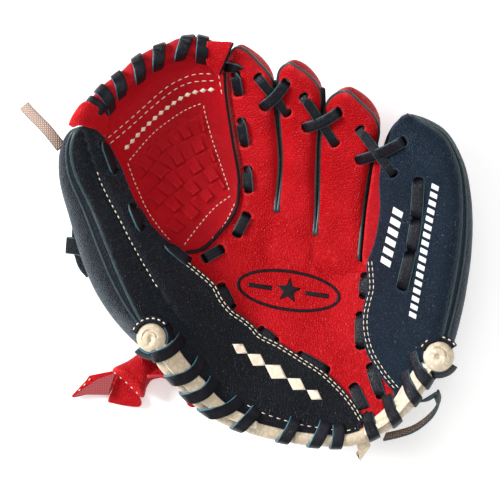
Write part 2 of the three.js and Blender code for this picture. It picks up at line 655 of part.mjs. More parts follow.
function solidOfGeometry(geometry) {
  const position = geometry.getAttribute('position');
  const vertices = [];
  const numberOf = new Map();
  const indices = Array.from({ length: position.count }, (_, i) => {
    const spot = [position.getX(i), position.getY(i), position.getZ(i)];
    const key = spot.map((value) => value.toFixed(4)).join();
    if (!numberOf.has(key)) numberOf.set(key, vertices.push(spot) - 1);
    return numberOf.get(key);
  });
  const triangles = [];
  for (let i = 0; i < indices.length; i += 3) triangles.push(indices.slice(i, i + 3));
  return solidOf(vertices, triangles);
}
add('hand_back_panel', 'black_leather', 'palm', handBackPanel());

// ---------------------------------------------------------------- wrist strap

const STRAP_LINE = [
  [-52, -60.5, 9], [-45, -58.5, 8.5], [-36, -61, 7.5], [-22, -68.5, 6], [0, -72, 5], [30, -72, 5], [54, -69, 6],
  [66, -64, 8], [78, -58, 13],
];
const strapPoints = steps(16).map(through(STRAP_LINE));
const strap = strip(strapPoints, strapPoints.map(() => [0, 0, 1]), STRAP_WIDTH, STRAP_THICKNESS);
const STRAP_PLAY = 0.8; // on each side of the strap where it passes through the backs
const strapRoom = strip(
  strapPoints, strapPoints.map(() => [0, 0, 1]),
  STRAP_WIDTH + 2 * STRAP_PLAY, STRAP_THICKNESS + 2 * STRAP_PLAY,
);
add('wrist_strap_center', 'red_leather', 'palm', strap);

// The strap's free end is tied in a knot outside the wrist.
const KNOT_LINE = [[-52.6, -60.9, 9.1], [-59, -63.2, 10], [-65.5, -65.6, 10]];
const KNOT_WIDTH = 22;
const KNOT_THICKNESS = 9;
const flatStrip = (line, count, width, thickness) => {
  const points = steps(count).map(through(line));
  return strip(points, points.map(() => [0, 0, 1]), width, thickness);
};
const knot = flatStrip(KNOT_LINE, 4, KNOT_WIDTH, KNOT_THICKNESS);
const knotRoom = flatStrip(
  KNOT_LINE, 4, KNOT_WIDTH + 2 * STRAP_PLAY, KNOT_THICKNESS + 2 * STRAP_PLAY,
);

// ---------------------------------------------------------------- thumb side

const thumbCutters = [webThumbLace.eyelets, heelRoom];
add('thumb_front', 'black_leather', 'thumb_side', frontShell(stalls.thumb), thumbCutters);
add('thumb_back', 'black_leather', 'thumb_side', backShell(stalls.thumb),
  [heelRoom, strapRoom, knotRoom]);
add('thumb_welt', 'welt', 'thumb_side', welt(stalls.thumb, 'left'), [heelRoom]);
add('thumb_liner', 'tan_lining', 'thumb_side', liner(stalls.thumb, 4), thumbCutters);

// A firm plate between the shell and the lining of a heel.
const INSERT_THICKNESS = 2.4;
const INSERT_SPAN = [0.06, 0.38];
const INSERT_MARGIN = 0.26;
function insertPlate(stall) {
  const [from, to] = INSERT_SPAN;
  const top = -LEATHER - LACE_ROOM;
  const surface = (t, s, lift) => {
    const side = mix(INSERT_MARGIN, 1 - INSERT_MARGIN, s);
    const shell = stall.front(t, side, 0);
    const normal = unit(minus(stall.front(t, side, 1), shell));
    return plus(shell, normal, lift);
  };
  return sheet(surface, 6, 4, top, top - INSERT_THICKNESS, from, to);
}
add('thumb_insert', 'insert', 'thumb_side', insertPlate(stalls.thumb), thumbCutters);
add('web_thumb_lace', 'lace', 'thumb_side', webThumbLace.lace);
add('heel_roll_thumb', 'cream_leather', 'thumb_side', heelRoll);
add('heel_lace_thumb', 'lace', 'thumb_side',
  woundLace(heelLine, heelRadius, HEEL_WRAPS.thumb, 0.02, 0.21));

// A band of leather over the thumb tip that carries the end of the web.
const TIP_BAND = [
  [-95, 66, 58], [-92, 68.5, 68], [-84, 70, 74], [-76.5, 71, 70], [-74, 72, 63],
];
function bandUps(points) {
  const forward = tangents(points);
  return points.map((_, i) => cross([0, -1, 0], forward[i]).map((value) => -value));
}
const bandPoints = steps(10).map(through(TIP_BAND));
const TIP_BAND_WIDTH = 11;
add('thumb_tip_loop', 'red_leather', 'thumb_side',
  strip(bandPoints, bandUps(bandPoints), TIP_BAND_WIDTH, LEATHER));

// A lace end that runs down the outside of the thumb, held by a folded keeper.
const loopPlace = (k, lift) => stalls.thumb.back(mix(0.62, 0.2, k), 0.3, lift);
const loopStrip = (from, to, count, lift, width, thickness) => {
  const ks = steps(count).map((k) => mix(from, to, k));
  return strip(
    ks.map((k) => loopPlace(k, lift)),
    ks.map((k) => minus(loopPlace(k, lift + 1), loopPlace(k, lift))),
    width, thickness,
  );
};
const LOOP_WIDTH = 6;
const loopLift = LAYER_GAP + LACE_THICKNESS;
add('thumb_loop', 'lace', 'thumb_side', loopStrip(0, 1, 14, loopLift, LOOP_WIDTH, LACE_THICKNESS));
const KEEPER_WIDTH = 9;
const KEEPER_THICKNESS = 3;
const keeperLift = loopLift + LAYER_GAP + (LACE_THICKNESS + KEEPER_THICKNESS) / 2;
add('thumb_loop_keeper', 'lace', 'thumb_side',
  loopStrip(0.42, 0.78, 6, keeperLift, KEEPER_WIDTH, KEEPER_THICKNESS));

// A free lace tail beside the thumb tip, from its exit to its bare end.
const WEB_TAIL_LINE = [
  [-94, 51, 55], [-97.5, 55.5, 56.5], [-101, 59.8, 56], [-104.7, 63.6, 53.5],
  [-108.2, 67, 50], [-111.2, 70, 46], [-113.2, 72.4, 41.5],
];
const cordTail = (line) => {
  const points = steps(14).map(through(line));
  return strip(points, points.map(() => [0, 0, 1]), LACE_WIDTH, LACE_THICKNESS);
};
add('web_lace_tail', 'lace', 'thumb_side', cordTail(WEB_TAIL_LINE));

add('wrist_strap_thumb', 'red_leather', 'thumb_side', strap);
add('strap_knot', 'red_leather', 'thumb_side', knot);
const LONG_TAIL_LINE = [[-66.2, -66, 10], [-75, -68.5, 8.5], [-83, -71, 5.5], [-90, -73, 2.5]];
add('strap_tail_long', 'red_leather', 'thumb_side',
  flatStrip(LONG_TAIL_LINE, 6, STRAP_WIDTH - 3, STRAP_THICKNESS));
const SHORT_TAIL_LINE = [[-60.5, -77.8, 7], [-61.5, -80.2, 6], [-62.5, -82.8, 4]];
add('strap_tail_short', 'red_leather', 'thumb_side',
  flatStrip(SHORT_TAIL_LINE, 4, STRAP_WIDTH - 2, STRAP_THICKNESS));

// ---------------------------------------------------------------- little-finger side

const pinkyCutters = [pinkyLace.eyelets, ringPinkyLace.eyelets, heelRoom];
add('pinky_front', 'navy_leather', 'pinky_side', frontShell(stalls.pinky), pinkyCutters);
add('pinky_back', 'navy_leather', 'pinky_side', backShell(stalls.pinky),
  [heelRoom, strapRoom]);
add('pinky_welt', 'welt', 'pinky_side', welt(stalls.pinky, 'right'), [heelRoom]);
add('pinky_liner', 'tan_lining', 'pinky_side', liner(stalls.pinky, 4));
add('pinky_insert', 'insert', 'pinky_side', insertPlate(stalls.pinky), pinkyCutters);
add('pinky_lace', 'lace', 'pinky_side', pinkyLace.lace);
add('heel_roll_pinky', 'cream_leather', 'pinky_side', heelRoll);
add('heel_lace_pinky', 'lace', 'pinky_side',
  woundLace(heelLine, heelRadius, HEEL_WRAPS.pinky, 0.64, 0.95));
add('wrist_strap_pinky', 'red_leather', 'pinky_side', strap);

const WRIST_TAIL_LINE = [
  [93.5, -72, 47], [94.8, -76.5, 42], [92.5, -82, 36], [88, -87, 30], [82.5, -91, 24],
  [76, -93.5, 18], [69, -95.5, 12],
];
add('wrist_lace_loop', 'lace', 'pinky_side', cordTail(WRIST_TAIL_LINE));
const HEEL_TAB_LINE = [[60, -100.2, 38], [58.5, -103, 36.5], [57.5, -107, 34]];
add('heel_tab', 'cream_leather', 'pinky_side', flatStrip(HEEL_TAB_LINE, 3, 6, LEATHER));

// The lace between the ring and little fingers crosses the fold and bends with it.
BODY_CUTTERS.both = [];
add('ring_pinky_lace', 'lace', 'both', ringPinkyLace.lace);

glove.position.set(...FRAME_SHIFT);

export default glove;
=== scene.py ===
"""A youth fielder's glove for the left hand, palm up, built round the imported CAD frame.

Shapes are given in millimetres on the glove's own grid; metres() brings them into the frame.
"""
import math

import bpy
import numpy as np
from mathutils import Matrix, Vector, geometry


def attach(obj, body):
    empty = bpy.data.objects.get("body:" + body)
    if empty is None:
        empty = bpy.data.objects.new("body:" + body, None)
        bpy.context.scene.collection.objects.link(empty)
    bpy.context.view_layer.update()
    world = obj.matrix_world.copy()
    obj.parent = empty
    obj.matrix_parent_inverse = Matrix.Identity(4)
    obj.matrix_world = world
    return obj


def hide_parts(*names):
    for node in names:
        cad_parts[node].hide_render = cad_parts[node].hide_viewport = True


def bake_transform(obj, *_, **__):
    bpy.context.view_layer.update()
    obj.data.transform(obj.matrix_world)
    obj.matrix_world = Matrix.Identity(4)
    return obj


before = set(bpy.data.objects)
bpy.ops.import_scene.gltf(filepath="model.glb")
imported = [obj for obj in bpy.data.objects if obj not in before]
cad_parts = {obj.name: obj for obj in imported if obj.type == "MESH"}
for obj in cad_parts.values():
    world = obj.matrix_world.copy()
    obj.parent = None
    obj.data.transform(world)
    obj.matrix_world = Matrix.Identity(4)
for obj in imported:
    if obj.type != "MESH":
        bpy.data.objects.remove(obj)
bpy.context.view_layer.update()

# ------------------------------------------------------------------ driving dimensions

MM = 0.001
FRAME_SHIFT = np.array([-6.647, 0.075, 0.0])  # the CAD's own shift, in millimetres
LEATHER = 1.8
LACE_WIDTH = 5.5
LACE_THICKNESS = 1.3
LACE_LIFT = 0.75  # of a lace's middle above the leather that it lies on
WEB_LEATHER = 1.6
STRAP_WIDTH, STRAP_THICKNESS = 13.0, 2.0
WELT_RADIUS = 0.95
THREAD_RADIUS = 0.3
SPACING = 1.25  # of the points inside a leather panel

THUMB_FOLD = np.array([[-25, -74, 48], [-69, 60, 58]], float)
PINKY_FOLD = np.array([[53, -96, 42], [64, 67, 56]], float)
FOLD_REACH = 7.0  # the reach on each side of a fold line, passed on to bake_transform, which does not bend the leather

# Heights of the bowl surface at listed spots: x, y, height.
BOWL_SPOTS = np.array([
    [40, -97, 40], [10, -93, 42], [-17, -81, 46], [-37, -64, 53], [-49, -42, 60],
    [67, -93, 44], [82, -77, 50], [95, -51, 60],
    [0, -65, 41], [30, -65, 38], [55, -65, 39],
    [-25, -40, 45], [0, -40, 36], [30, -40, 34], [55, -40, 36], [75, -40, 47],
    [-63, -15, 63], [-48, -15, 54], [-30, -15, 42], [-5, -15, 33], [30, -15, 31],
    [57, -15, 36], [77, -15, 50], [102, -15, 65],
    [-77, 15, 66], [-63, 15, 58], [-48, 15, 46], [-25, 15, 33], [5, 15, 30],
    [35, 15, 32], [57, 15, 38], [80, 15, 53], [104, 15, 69],
    [-88, 45, 70], [-77, 45, 64], [-62, 45, 48], [-42, 45, 37], [-15, 45, 34],
    [5, 45, 37], [30, 45, 41], [60, 45, 49], [82, 45, 61], [101, 45, 73],
    [-82, 62, 73], [-65, 70, 58], [-42, 70, 45], [-18, 72, 43], [5, 72, 49],
    [35, 70, 56], [62, 65, 65], [85, 62, 76],
    [-57, 90, 64], [-30, 101, 63], [-7, 100, 67], [20, 92, 70], [47, 79, 72],
], float)

# ------------------------------------------------------------------ numbers and curves


def unit(v):
    """Vectors of length one."""
    return v / np.maximum(np.linalg.norm(v, axis=-1, keepdims=True), 1e-9)


def through(rows):
    """A smooth curve through rows of numbers, with its ends carried straight on."""
    rows = np.array(rows, float)
    padded = np.vstack([2 * rows[0] - rows[1], rows, 2 * rows[-1] - rows[-2]])
    last = len(rows) - 1

    def at(t):
        place = np.asarray(t, float) * last
        i = np.clip(np.floor(place).astype(int), 0, last - 1)
        f = (place - i)[..., None]
        a, b, c, d = padded[i], padded[i + 1], padded[i + 2], padded[i + 3]
        curve = 2 * a - 5 * b + 4 * c - d
        return b + f * 0.5 * (c - a + f * (curve + f * (3 * (b - c) + d - a)))

    return at


def resample(points, spacing, closed=False):
    """The smooth curve through points, as points at an even spacing."""
    points = np.array(points, float)
    if closed:
        points = np.vstack([points, points[:1]])
    dense = through(points)(np.linspace(0, 1, 30 * len(points)))
    steps = np.linalg.norm(np.diff(dense, axis=0), axis=1)
    length = np.concatenate([[0], np.cumsum(steps)])
    count = max(2, int(round(length[-1] / spacing)))
    places = np.linspace(0, length[-1], count + 1)
    out = np.stack([np.interp(places, length, dense[:, k]) for k in range(points.shape[1])], -1)
    return out[:-1] if closed else out


def thin_plate(spots):
    """A thin plate bent to pass through every spot."""
    def bend(d2):
        return np.where(d2 > 0, d2 * np.log(np.maximum(d2, 1e-12)), 0)

    xy = spots[:, :2]
    n = len(spots)
    k = bend(((xy[:, None] - xy[None]) ** 2).sum(-1))
    p = np.hstack([np.ones((n, 1)), xy])
    system = np.block([[k, p], [p.T, np.zeros((3, 3))]])
    weights = np.linalg.solve(system, np.concatenate([spots[:, 2], np.zeros(3)]))

    def height(x, y):
        x, y = np.asarray(x, float), np.asarray(y, float)
        d2 = (x[..., None] - xy[:, 0]) ** 2 + (y[..., None] - xy[:, 1]) ** 2
        return bend(d2) @ weights[:n] + weights[n] + weights[n + 1] * x + weights[n + 2] * y

    return height


bowl = thin_plate(BOWL_SPOTS)


def smoothstep(a, b, x):
    """Runs smoothly from 0 at a to 1 at b."""
    t = np.clip((x - a) / (b - a), 0, 1)
    return t * t * (3 - 2 * t)


def nearest(x, y, line):
    """For each point: its distance to a polyline, and how far along the line that is, 0 to 1."""
    line = np.asarray(line, float)
    p = np.stack([np.ravel(x), np.ravel(y)], -1)
    a, b = line[:-1, :2], line[1:, :2]
    d = b - a
    t = ((p[:, None] - a[None]) * d[None]).sum(-1) / np.maximum((d * d).sum(-1), 1e-9)[None]
    t = np.clip(t, 0, 1)
    gap = np.linalg.norm(p[:, None] - (a[None] + t[..., None] * d[None]), axis=-1)
    best = gap.argmin(1)
    rows = np.arange(len(p))
    along = (best + t[rows, best]) / (len(line) - 1)
    return gap[rows, best].reshape(np.shape(x)), along.reshape(np.shape(x))


def inside(x, y, polygon):
    """Whether each point lies inside a plan polygon."""
    x, y = np.asarray(x, float), np.asarray(y, float)
    a, b = polygon, np.roll(polygon, -1, axis=0)
    result = np.zeros(x.shape, bool)
    for (x1, y1), (x2, y2) in zip(a[:, :2], b[:, :2]):
        if y1 == y2:
            continue
        crosses = ((y1 > y) != (y2 > y)) & (x < (x2 - x1) * (y - y1) / (y2 - y1) + x1)
        result ^= crosses
    return result


def rounding(x, y, line, depth, radius):
    """How far leather dips near a line: depth is one number, or numbers spread along it."""
    gap, along = nearest(x, y, line)
    depth = np.atleast_1d(np.asarray(depth, float))
    deep = np.interp(along, np.linspace(0, 1, len(depth)), depth)
    u = np.clip(gap / radius, 0, 1)
    return deep * (1 - np.sqrt(1 - (1 - u) ** 2))


def crease(x, y, line, depth, width):
    """A soft groove, or a soft ridge where depth is below zero, that fades at its ends."""
    gap, along = nearest(x, y, line)
    return -depth * np.exp(-((gap / width) ** 2)) * np.sin(np.pi * np.clip(along, 0.08, 0.92))


def mound(x, y, cx, cy, rx, ry, height):
    """A soft round rise."""
    return height * np.exp(-(((x - cx) / rx) ** 2) - ((y - cy) / ry) ** 2)


# ------------------------------------------------------------------ materials


class Finish:
    """A small helper for building one procedural material."""

    def __init__(self, name, color, roughness, **sockets):
        self.material = bpy.data.materials.new(name)
        self.material.use_nodes = True
        self.tree = self.material.node_tree
        self.shader = self.tree.nodes["Principled BSDF"]
        self.shader.inputs["Base Color"].default_value = (*color, 1)
        self.shader.inputs["Roughness"].default_value = roughness
        for socket, value in sockets.items():
            self.shader.inputs[socket.replace("_", " ")].default_value = value
        coordinates = self.node("ShaderNodeTexCoord")
        self.place = coordinates.outputs["Object"]
        self.heights = []

    def node(self, kind, **settings):
        made = self.tree.nodes.new(kind)
        for key, value in settings.items():
            setattr(made, key, value)
        return made

    def link(self, source, target):
        self.tree.links.new(source, target)

    def noise(self, scale, detail=2.0, place=None):
        made = self.node("ShaderNodeTexNoise")
        made.inputs["Scale"].default_value = scale
        made.inputs["Detail"].default_value = detail
        self.link(place or self.place, made.inputs["Vector"])
        return made.outputs["Fac"]

    def spread(self, value, low, high, to_low=0.0, to_high=1.0):
        made = self.node("ShaderNodeMapRange", interpolation_type="SMOOTHSTEP")
        for socket, number in zip(
            ("From Min", "From Max", "To Min", "To Max"), (low, high, to_low, to_high)
        ):
            made.inputs[socket].default_value = number
        self.link(value, made.inputs["Value"])
        return made.outputs["Result"]

    def math(self, operation, a, b):
        made = self.node("ShaderNodeMath", operation=operation)
        for socket, value in zip(made.inputs, (a, b)):
            if isinstance(value, (int, float)):
                socket.default_value = value
            else:
                self.link(value, socket)
        return made.outputs[0]

    def mix(self, factor, a, b):
        made = self.node("ShaderNodeMix", data_type="RGBA")
        self.link(factor, made.inputs["Factor"])
        for socket, value in ((made.inputs[6], a), (made.inputs[7], b)):
            if isinstance(value, tuple):
                socket.default_value = (*value, 1)
            else:
                self.link(value, socket)
        return made.outputs[2]

    def grain(self, size, depth, share=1.0):
        """Pebbles of that size in metres, separated by fine valleys."""
        cells = self.node("ShaderNodeTexVoronoi", feature="DISTANCE_TO_EDGE")
        cells.inputs["Scale"].default_value = 1 / size
        self.link(self.place, cells.inputs["Vector"])
        pebble = self.spread(cells.outputs["Distance"], 0.0, 0.35)
        self.heights.append((pebble, depth, share))
        return pebble

    def bump(self, height, depth, strength=1.0):
        self.heights.append((height, depth, strength))

    def done(self, color=None, roughness=None):
        if color is not None:
            self.link(color, self.shader.inputs["Base Color"])
        if roughness is not None:
            self.link(roughness, self.shader.inputs["Roughness"])
        normal = None
        for height, depth, strength in self.heights:
            bump = self.node("ShaderNodeBump")
            bump.inputs["Strength"].default_value = strength
            bump.inputs["Distance"].default_value = depth
            self.link(height, bump.inputs["Height"])
            if normal is not None:
                self.link(normal, bump.inputs["Normal"])
            normal = bump.outputs["Normal"]
        if normal is not None:
            self.link(normal, self.shader.inputs["Normal"])
        return self.material


def leather(name, dark, light, worn_and_highlight, roughness, grain_size, depth, **sockets):
    """Dyed leather: uneven dye, pebbled grain, soft wrinkles and paler rubbed patches, with a
    painted highlight on ridges and painted shade in hollows.
    """
    finish = Finish(name, dark, roughness, **sockets)
    dye = finish.spread(finish.noise(45.0, 4.0), 0.35, 0.68)
    color = finish.mix(dye, dark, light)
    pebble = finish.grain(grain_size, depth)
    valley = finish.spread(pebble, 0.0, 0.8, 0.55, 0.0)
    color = finish.mix(valley, color, tuple(0.72 * c for c in dark))
    rubbed = finish.spread(finish.noise(150.0, 5.0), 0.6, 0.82, 0.0, 0.35)
    color = finish.mix(rubbed, color, worn_and_highlight)
    # Curvature: ridges are mixed towards the pale rubbed colour, as edge wear with a painted
    # highlight; hollows are darkened to a third of the dye as painted shade.
    bend = finish.node("ShaderNodeNewGeometry").outputs["Pointiness"]
    color = finish.mix(finish.spread(bend, 0.515, 0.58, 0.0, 0.7), color, worn_and_highlight)
    color = finish.mix(finish.spread(bend, 0.49, 0.42, 0.0, 0.6), color,
                       tuple(0.35 * c for c in dark))
    finish.bump(finish.noise(220.0, 3.0), 0.0006, 0.5)
    gloss = finish.spread(finish.noise(90.0, 3.0), 0.3, 0.7, roughness - 0.06, roughness + 0.08)
    return finish.done(color, gloss)


def woven(name, dark, light, pitch, roughness=0.8):
    """A fine plain weave."""
    finish = Finish(name, dark, roughness)
    crossing = []
    for direction in ("X", "Y"):
        wave = finish.node("ShaderNodeTexWave", bands_direction=direction)
        wave.inputs["Scale"].default_value = 0.314 / pitch
        wave.inputs["Distortion"].default_value = 0.4
        finish.link(finish.place, wave.inputs["Vector"])
        crossing.append(wave.outputs["Fac"])
    cloth = finish.math("MULTIPLY", crossing[0], crossing[1])
    color = finish.mix(finish.spread(cloth, 0.0, 0.7), dark, light)
    finish.bump(cloth, 0.0004)
    return finish.done(color)


def plain(name, dark, light, roughness, scale=400.0, depth=0.0001, **sockets):
    """A fine-surfaced material with slight colour variation."""
    finish = Finish(name, dark, roughness, **sockets)
    color = finish.mix(finish.spread(finish.noise(scale, 4.0), 0.3, 0.7), dark, light)
    finish.bump(finish.noise(scale * 3, 2.0), depth, 0.6)
    return finish.done(color)


LOW_GLOSS = {"Specular_IOR_Level": 0.13}
BLUE_SHEEN = {"Sheen_Weight": 0.16, "Sheen_Roughness": 0.45, "Sheen_Tint": (0.5, 0.72, 0.95, 1)}
# Every leather below gets leather()'s painted highlight on ridges and painted shade in hollows.
RED = leather("red_leather", (0.44, 0.0005, 0.004), (0.55, 0.004, 0.010), (0.66, 0.025, 0.03),
              0.46, 0.0012, 0.00034, **LOW_GLOSS)
SOFT_RED = leather("web_leather", (0.40, 0.0005, 0.006), (0.50, 0.002, 0.009),
                   (0.62, 0.02, 0.025), 0.5, 0.0007, 0.00014, **LOW_GLOSS)
BLACK = leather("black_leather", (0.0032, 0.0038, 0.0060), (0.0060, 0.0066, 0.0095),
                (0.018, 0.021, 0.028), 0.44, 0.0012, 0.00036, **LOW_GLOSS, **BLUE_SHEEN)
NAVY = leather("navy_leather", (0.0016, 0.0075, 0.0170), (0.0042, 0.0130, 0.0270),
               (0.018, 0.034, 0.055), 0.42, 0.0012, 0.00036, **LOW_GLOSS, **BLUE_SHEEN)
LACE = leather("lace_leather", (0.0026, 0.0034, 0.0070), (0.0052, 0.0070, 0.0130),
               (0.014, 0.02, 0.032), 0.40, 0.0008, 0.00010, Specular_IOR_Level=0.22)
LACE_EDGE = plain("lace_edge", (0.018, 0.052, 0.060), (0.035, 0.090, 0.100), 0.6)
LACE_EDGE_BLUE = plain("lace_edge_blue", (0.024, 0.105, 0.150), (0.05, 0.18, 0.245), 0.6)
LACE_BACK = woven("lace_underside", (0.26, 0.16, 0.12), (0.60, 0.46, 0.38), 0.0011)
WELT = plain("welt", (0.010, 0.024, 0.028), (0.020, 0.044, 0.050), 0.42)
CREAM = leather("cream_leather", (0.62, 0.50, 0.35), (0.76, 0.65, 0.50), (0.84, 0.77, 0.66),
                0.42, 0.0030, 0.00006)
THREAD = plain("cream_thread", (0.70, 0.58, 0.42), (0.86, 0.76, 0.62), 0.7, 2500.0, 0.0002)
RED_THREAD = plain("red_thread", (0.45, 0.01, 0.02), (0.62, 0.03, 0.04), 0.7, 2500.0, 0.0002)
LINING = leather("tan_lining", (0.34, 0.25, 0.16), (0.44, 0.34, 0.23), (0.52, 0.42, 0.3),
                 0.75, 0.0015, 0.0001)
# The pads' felt is coloured dark as painted shade, so that eyelet holes read black.
FELT_PAINTED_SHADE = plain("felt", (0.03, 0.028, 0.028), (0.06, 0.055, 0.052), 0.95, 900.0, 0.0005)
PINK_CLOTH = woven("strap_underside", (0.26, 0.030, 0.035), (0.42, 0.09, 0.095), 0.0009)
PRINT_BLACK = plain("black_print", (0.006, 0.004, 0.006), (0.012, 0.008, 0.011), 0.5,
                    Specular_IOR_Level=0.12)
PRINT_CREAM = plain("cream_print", (0.72, 0.58, 0.44), (0.84, 0.72, 0.58), 0.6)
PRINT_WHITE = plain("white_print", (0.78, 0.78, 0.80), (0.88, 0.88, 0.90), 0.55)

# ------------------------------------------------------------------ making pieces

# Bodies, fold line, side of the moving body, and how far the bend reaches on each side.
CARRY = {
    "thumb_fold": ("palm", "thumb_side", THUMB_FOLD, -1, FOLD_REACH, FOLD_REACH),
    "pinky_fold": ("palm", "pinky_side", PINKY_FOLD, 1, FOLD_REACH, FOLD_REACH),
    "thumb_strap": ("palm", "thumb_side", THUMB_FOLD, -1, 20, 10),
    "pinky_strap": ("palm", "pinky_side", PINKY_FOLD, 1, 20, 8),
    "thumb_back": ("palm", "thumb_side", THUMB_FOLD, -1, 24, 2),
    "pinky_back": ("palm", "pinky_side", PINKY_FOLD, 1, 28, -4),
}


def metres(points):
    """Millimetres on the glove's grid, as metres in the frame."""
    return (np.asarray(points, float) + FRAME_SHIFT) * MM


def carry(obj, body):
    """Rides the piece on a body; a piece at a fold is baked in place where it lies and not bent, as
    bake_transform does not use the fold's bodies, start or end.
    """
    if body not in CARRY:
        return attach(obj, body)
    near, far, line, sign, near_reach, far_reach = CARRY[body]
    along = unit(line[1] - line[0])
    side = sign * unit(np.cross(along, [0, 0, 1]))
    middle = (line[0] + line[1]) / 2
    start, end = middle - side * near_reach, middle + side * far_reach
    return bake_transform(obj, near, far, start=tuple(metres(start)), end=tuple(metres(end)))


def piece(name, points, faces, materials, body, slot=None, nodes=(), thickness=0.0,
          indices=None, subdivide=0, smooth=True):
    """A mesh piece from points in millimetres."""
    mesh = bpy.data.meshes.new(name)
    mesh.from_pydata(metres(points).tolist(), [], [list(map(int, f)) for f in faces])
    for material in materials if isinstance(materials, (list, tuple)) else [materials]:
        mesh.materials.append(material)
    if indices is not None:
        mesh.polygons.foreach_set("material_index", np.asarray(indices, np.int32))
    mesh.polygons.foreach_set("use_smooth", [smooth] * len(mesh.polygons))
    mesh.validate()
    obj = bpy.data.objects.new(name, mesh)
    bpy.context.scene.collection.objects.link(obj)
    if thickness:
        solid = obj.modifiers.new("thickness", "SOLIDIFY")
        solid.thickness = thickness * MM
        solid.offset = -1
    if subdivide:
        obj.modifiers.new("smooth", "SUBSURF").render_levels = subdivide
        obj.modifiers["smooth"].levels = subdivide
    if thickness or subdivide:
        bpy.context.view_layer.update()
        graph = bpy.context.evaluated_depsgraph_get()
        baked = bpy.data.meshes.new_from_object(obj.evaluated_get(graph))
        obj.modifiers.clear()
        obj.data = baked
    carry(obj, body)
    if nodes:
        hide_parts(*nodes)
    return obj


def merged(parts):
    """One set of points and faces from several."""
    points, faces, offset = [], [], 0
    for part_points, part_faces in parts:
        points.append(part_points)
        faces.extend([[i + offset for i in face] for face in part_faces])
        offset += len(part_points)
    return np.vstack(points), faces


def grid_faces(rows, columns, closed=False):
    """Four-sided faces over rows of points; closed joins the last column to the first."""
    across = columns if closed else columns - 1
    return [
        (r * columns + c, r * columns + (c + 1) % columns,
         (r + 1) * columns + (c + 1) % columns, (r + 1) * columns + c)
        for r in range(rows - 1) for c in range(across)
    ]


def frames(points, ups):
    """Forward, side and up vectors along a path."""
    forward = unit(np.gradient(points, axis=0))
    side = unit(np.cross(forward, ups))
    return forward, side, np.cross(side, forward)


STRIP_SECTION = np.array([
    [0.5, -0.25], [0.5, 0.25], [0.44, 0.5], [0.2, 0.56], [-0.2, 0.56], [-0.44, 0.5],
    [-0.5, 0.25], [-0.5, -0.25], [-0.44, -0.5], [0.0, -0.5], [0.44, -0.5],
])
STRIP_LOOKS = [1, 1, 0, 0, 0, 1, 1, 1, 2, 2, 1]  # face, edge and underside of a strip
LEFT_EDGE = [0, 0, 0, 0, 0, 1, 1, 1, 2, 2, 0]  # a wrap shows its cut edge on one side
RIGHT_EDGE = [1, 1, 0, 0, 0, 0, 0, 0, 2, 2, 1]


def strip_mesh(points, ups, width=LACE_WIDTH, thickness=LACE_THICKNESS, taper=None,
               section_looks=STRIP_LOOKS):
    """A flat strip with rounded edges, and the material index of each of its faces."""
    points = np.asarray(points, float)
    _, side, up = frames(points, np.asarray(ups, float))
    wide = np.full(len(points), width) if taper is None else width * np.asarray(taper)
    count = len(STRIP_SECTION)
    section = STRIP_SECTION[None]
    rings = (points[:, None] + side[:, None] * (section[..., :1] * wide[:, None, None])
             + up[:, None] * (section[..., 1:] * thickness))
    faces = grid_faces(len(points), count, closed=True)
    looks = section_looks * (len(points) - 1)
    faces = faces + [tuple(range(count))[::-1],
                     tuple((len(points) - 1) * count + i for i in range(count))]
    return rings.reshape(-1, 3), faces, looks + [1, 1]


def strips(name, parts, body, nodes=(), materials=None, slot="lace"):
    """Several strips as one piece."""
    points, faces = merged([(p, f) for p, f, _ in parts])
    looks = [i for _, _, l in parts for i in l]
    return piece(name, points, faces, materials or [LACE, LACE_EDGE, LACE_BACK], body,
                 slot=slot, nodes=nodes, indices=looks)


def tube_mesh(points, radius, sides=12, caps=True):
    """A round tube; the radius is one number or one for each point."""
    points = np.asarray(points, float)
    forward = unit(np.gradient(points, axis=0))
    helper = np.where(np.abs(forward[:, 2:]) > 0.95, [[1.0, 0, 0]], [[0, 0, 1.0]])
    side = unit(np.cross(forward, helper))
    up = np.cross(side, forward)
    radius = np.broadcast_to(np.asarray(radius, float), (len(points),))
    angle = np.linspace(0, 2 * np.pi, sides, endpoint=False)
    rings = points[:, None] + radius[:, None, None] * (
        side[:, None] * np.cos(angle)[None, :, None] + up[:, None] * np.sin(angle)[None, :, None])
    faces = grid_faces(len(points), sides, closed=True)
    if caps:
        faces += [tuple(range(sides))[::-1],
                  tuple((len(points) - 1) * sides + i for i in range(sides))]
    return rings.reshape(-1, 3), faces


def plan_area(outline):
    """Twice the area inside a plan outline, below zero where it runs clockwise."""
    return np.sum(outline[:, 0] * np.roll(outline[:, 1], -1)
                  - outline[:, 1] * np.roll(outline[:, 0], -1))


def inward_of(outline):
    """Unit vectors to the left of an outline's direction, which is inward if it isn't clockwise."""
    ahead = unit(np.roll(outline, -1, 0) - np.roll(outline, 1, 0))
    return np.stack([-ahead[:, 1], ahead[:, 0]], -1)


ROW_PITCH = 0.87  # of the points' spacing, so that staggered rows make even triangles


def staggered(area, spacing):
    """Points in staggered rows over the box round an area."""
    low, high = area.min(0), area.max(0)
    return np.array([
        (x, y) for r, y in enumerate(np.arange(low[1], high[1], spacing * ROW_PITCH))
        for x in np.arange(low[0] + (r % 2) * spacing / 2, high[0], spacing)
    ])


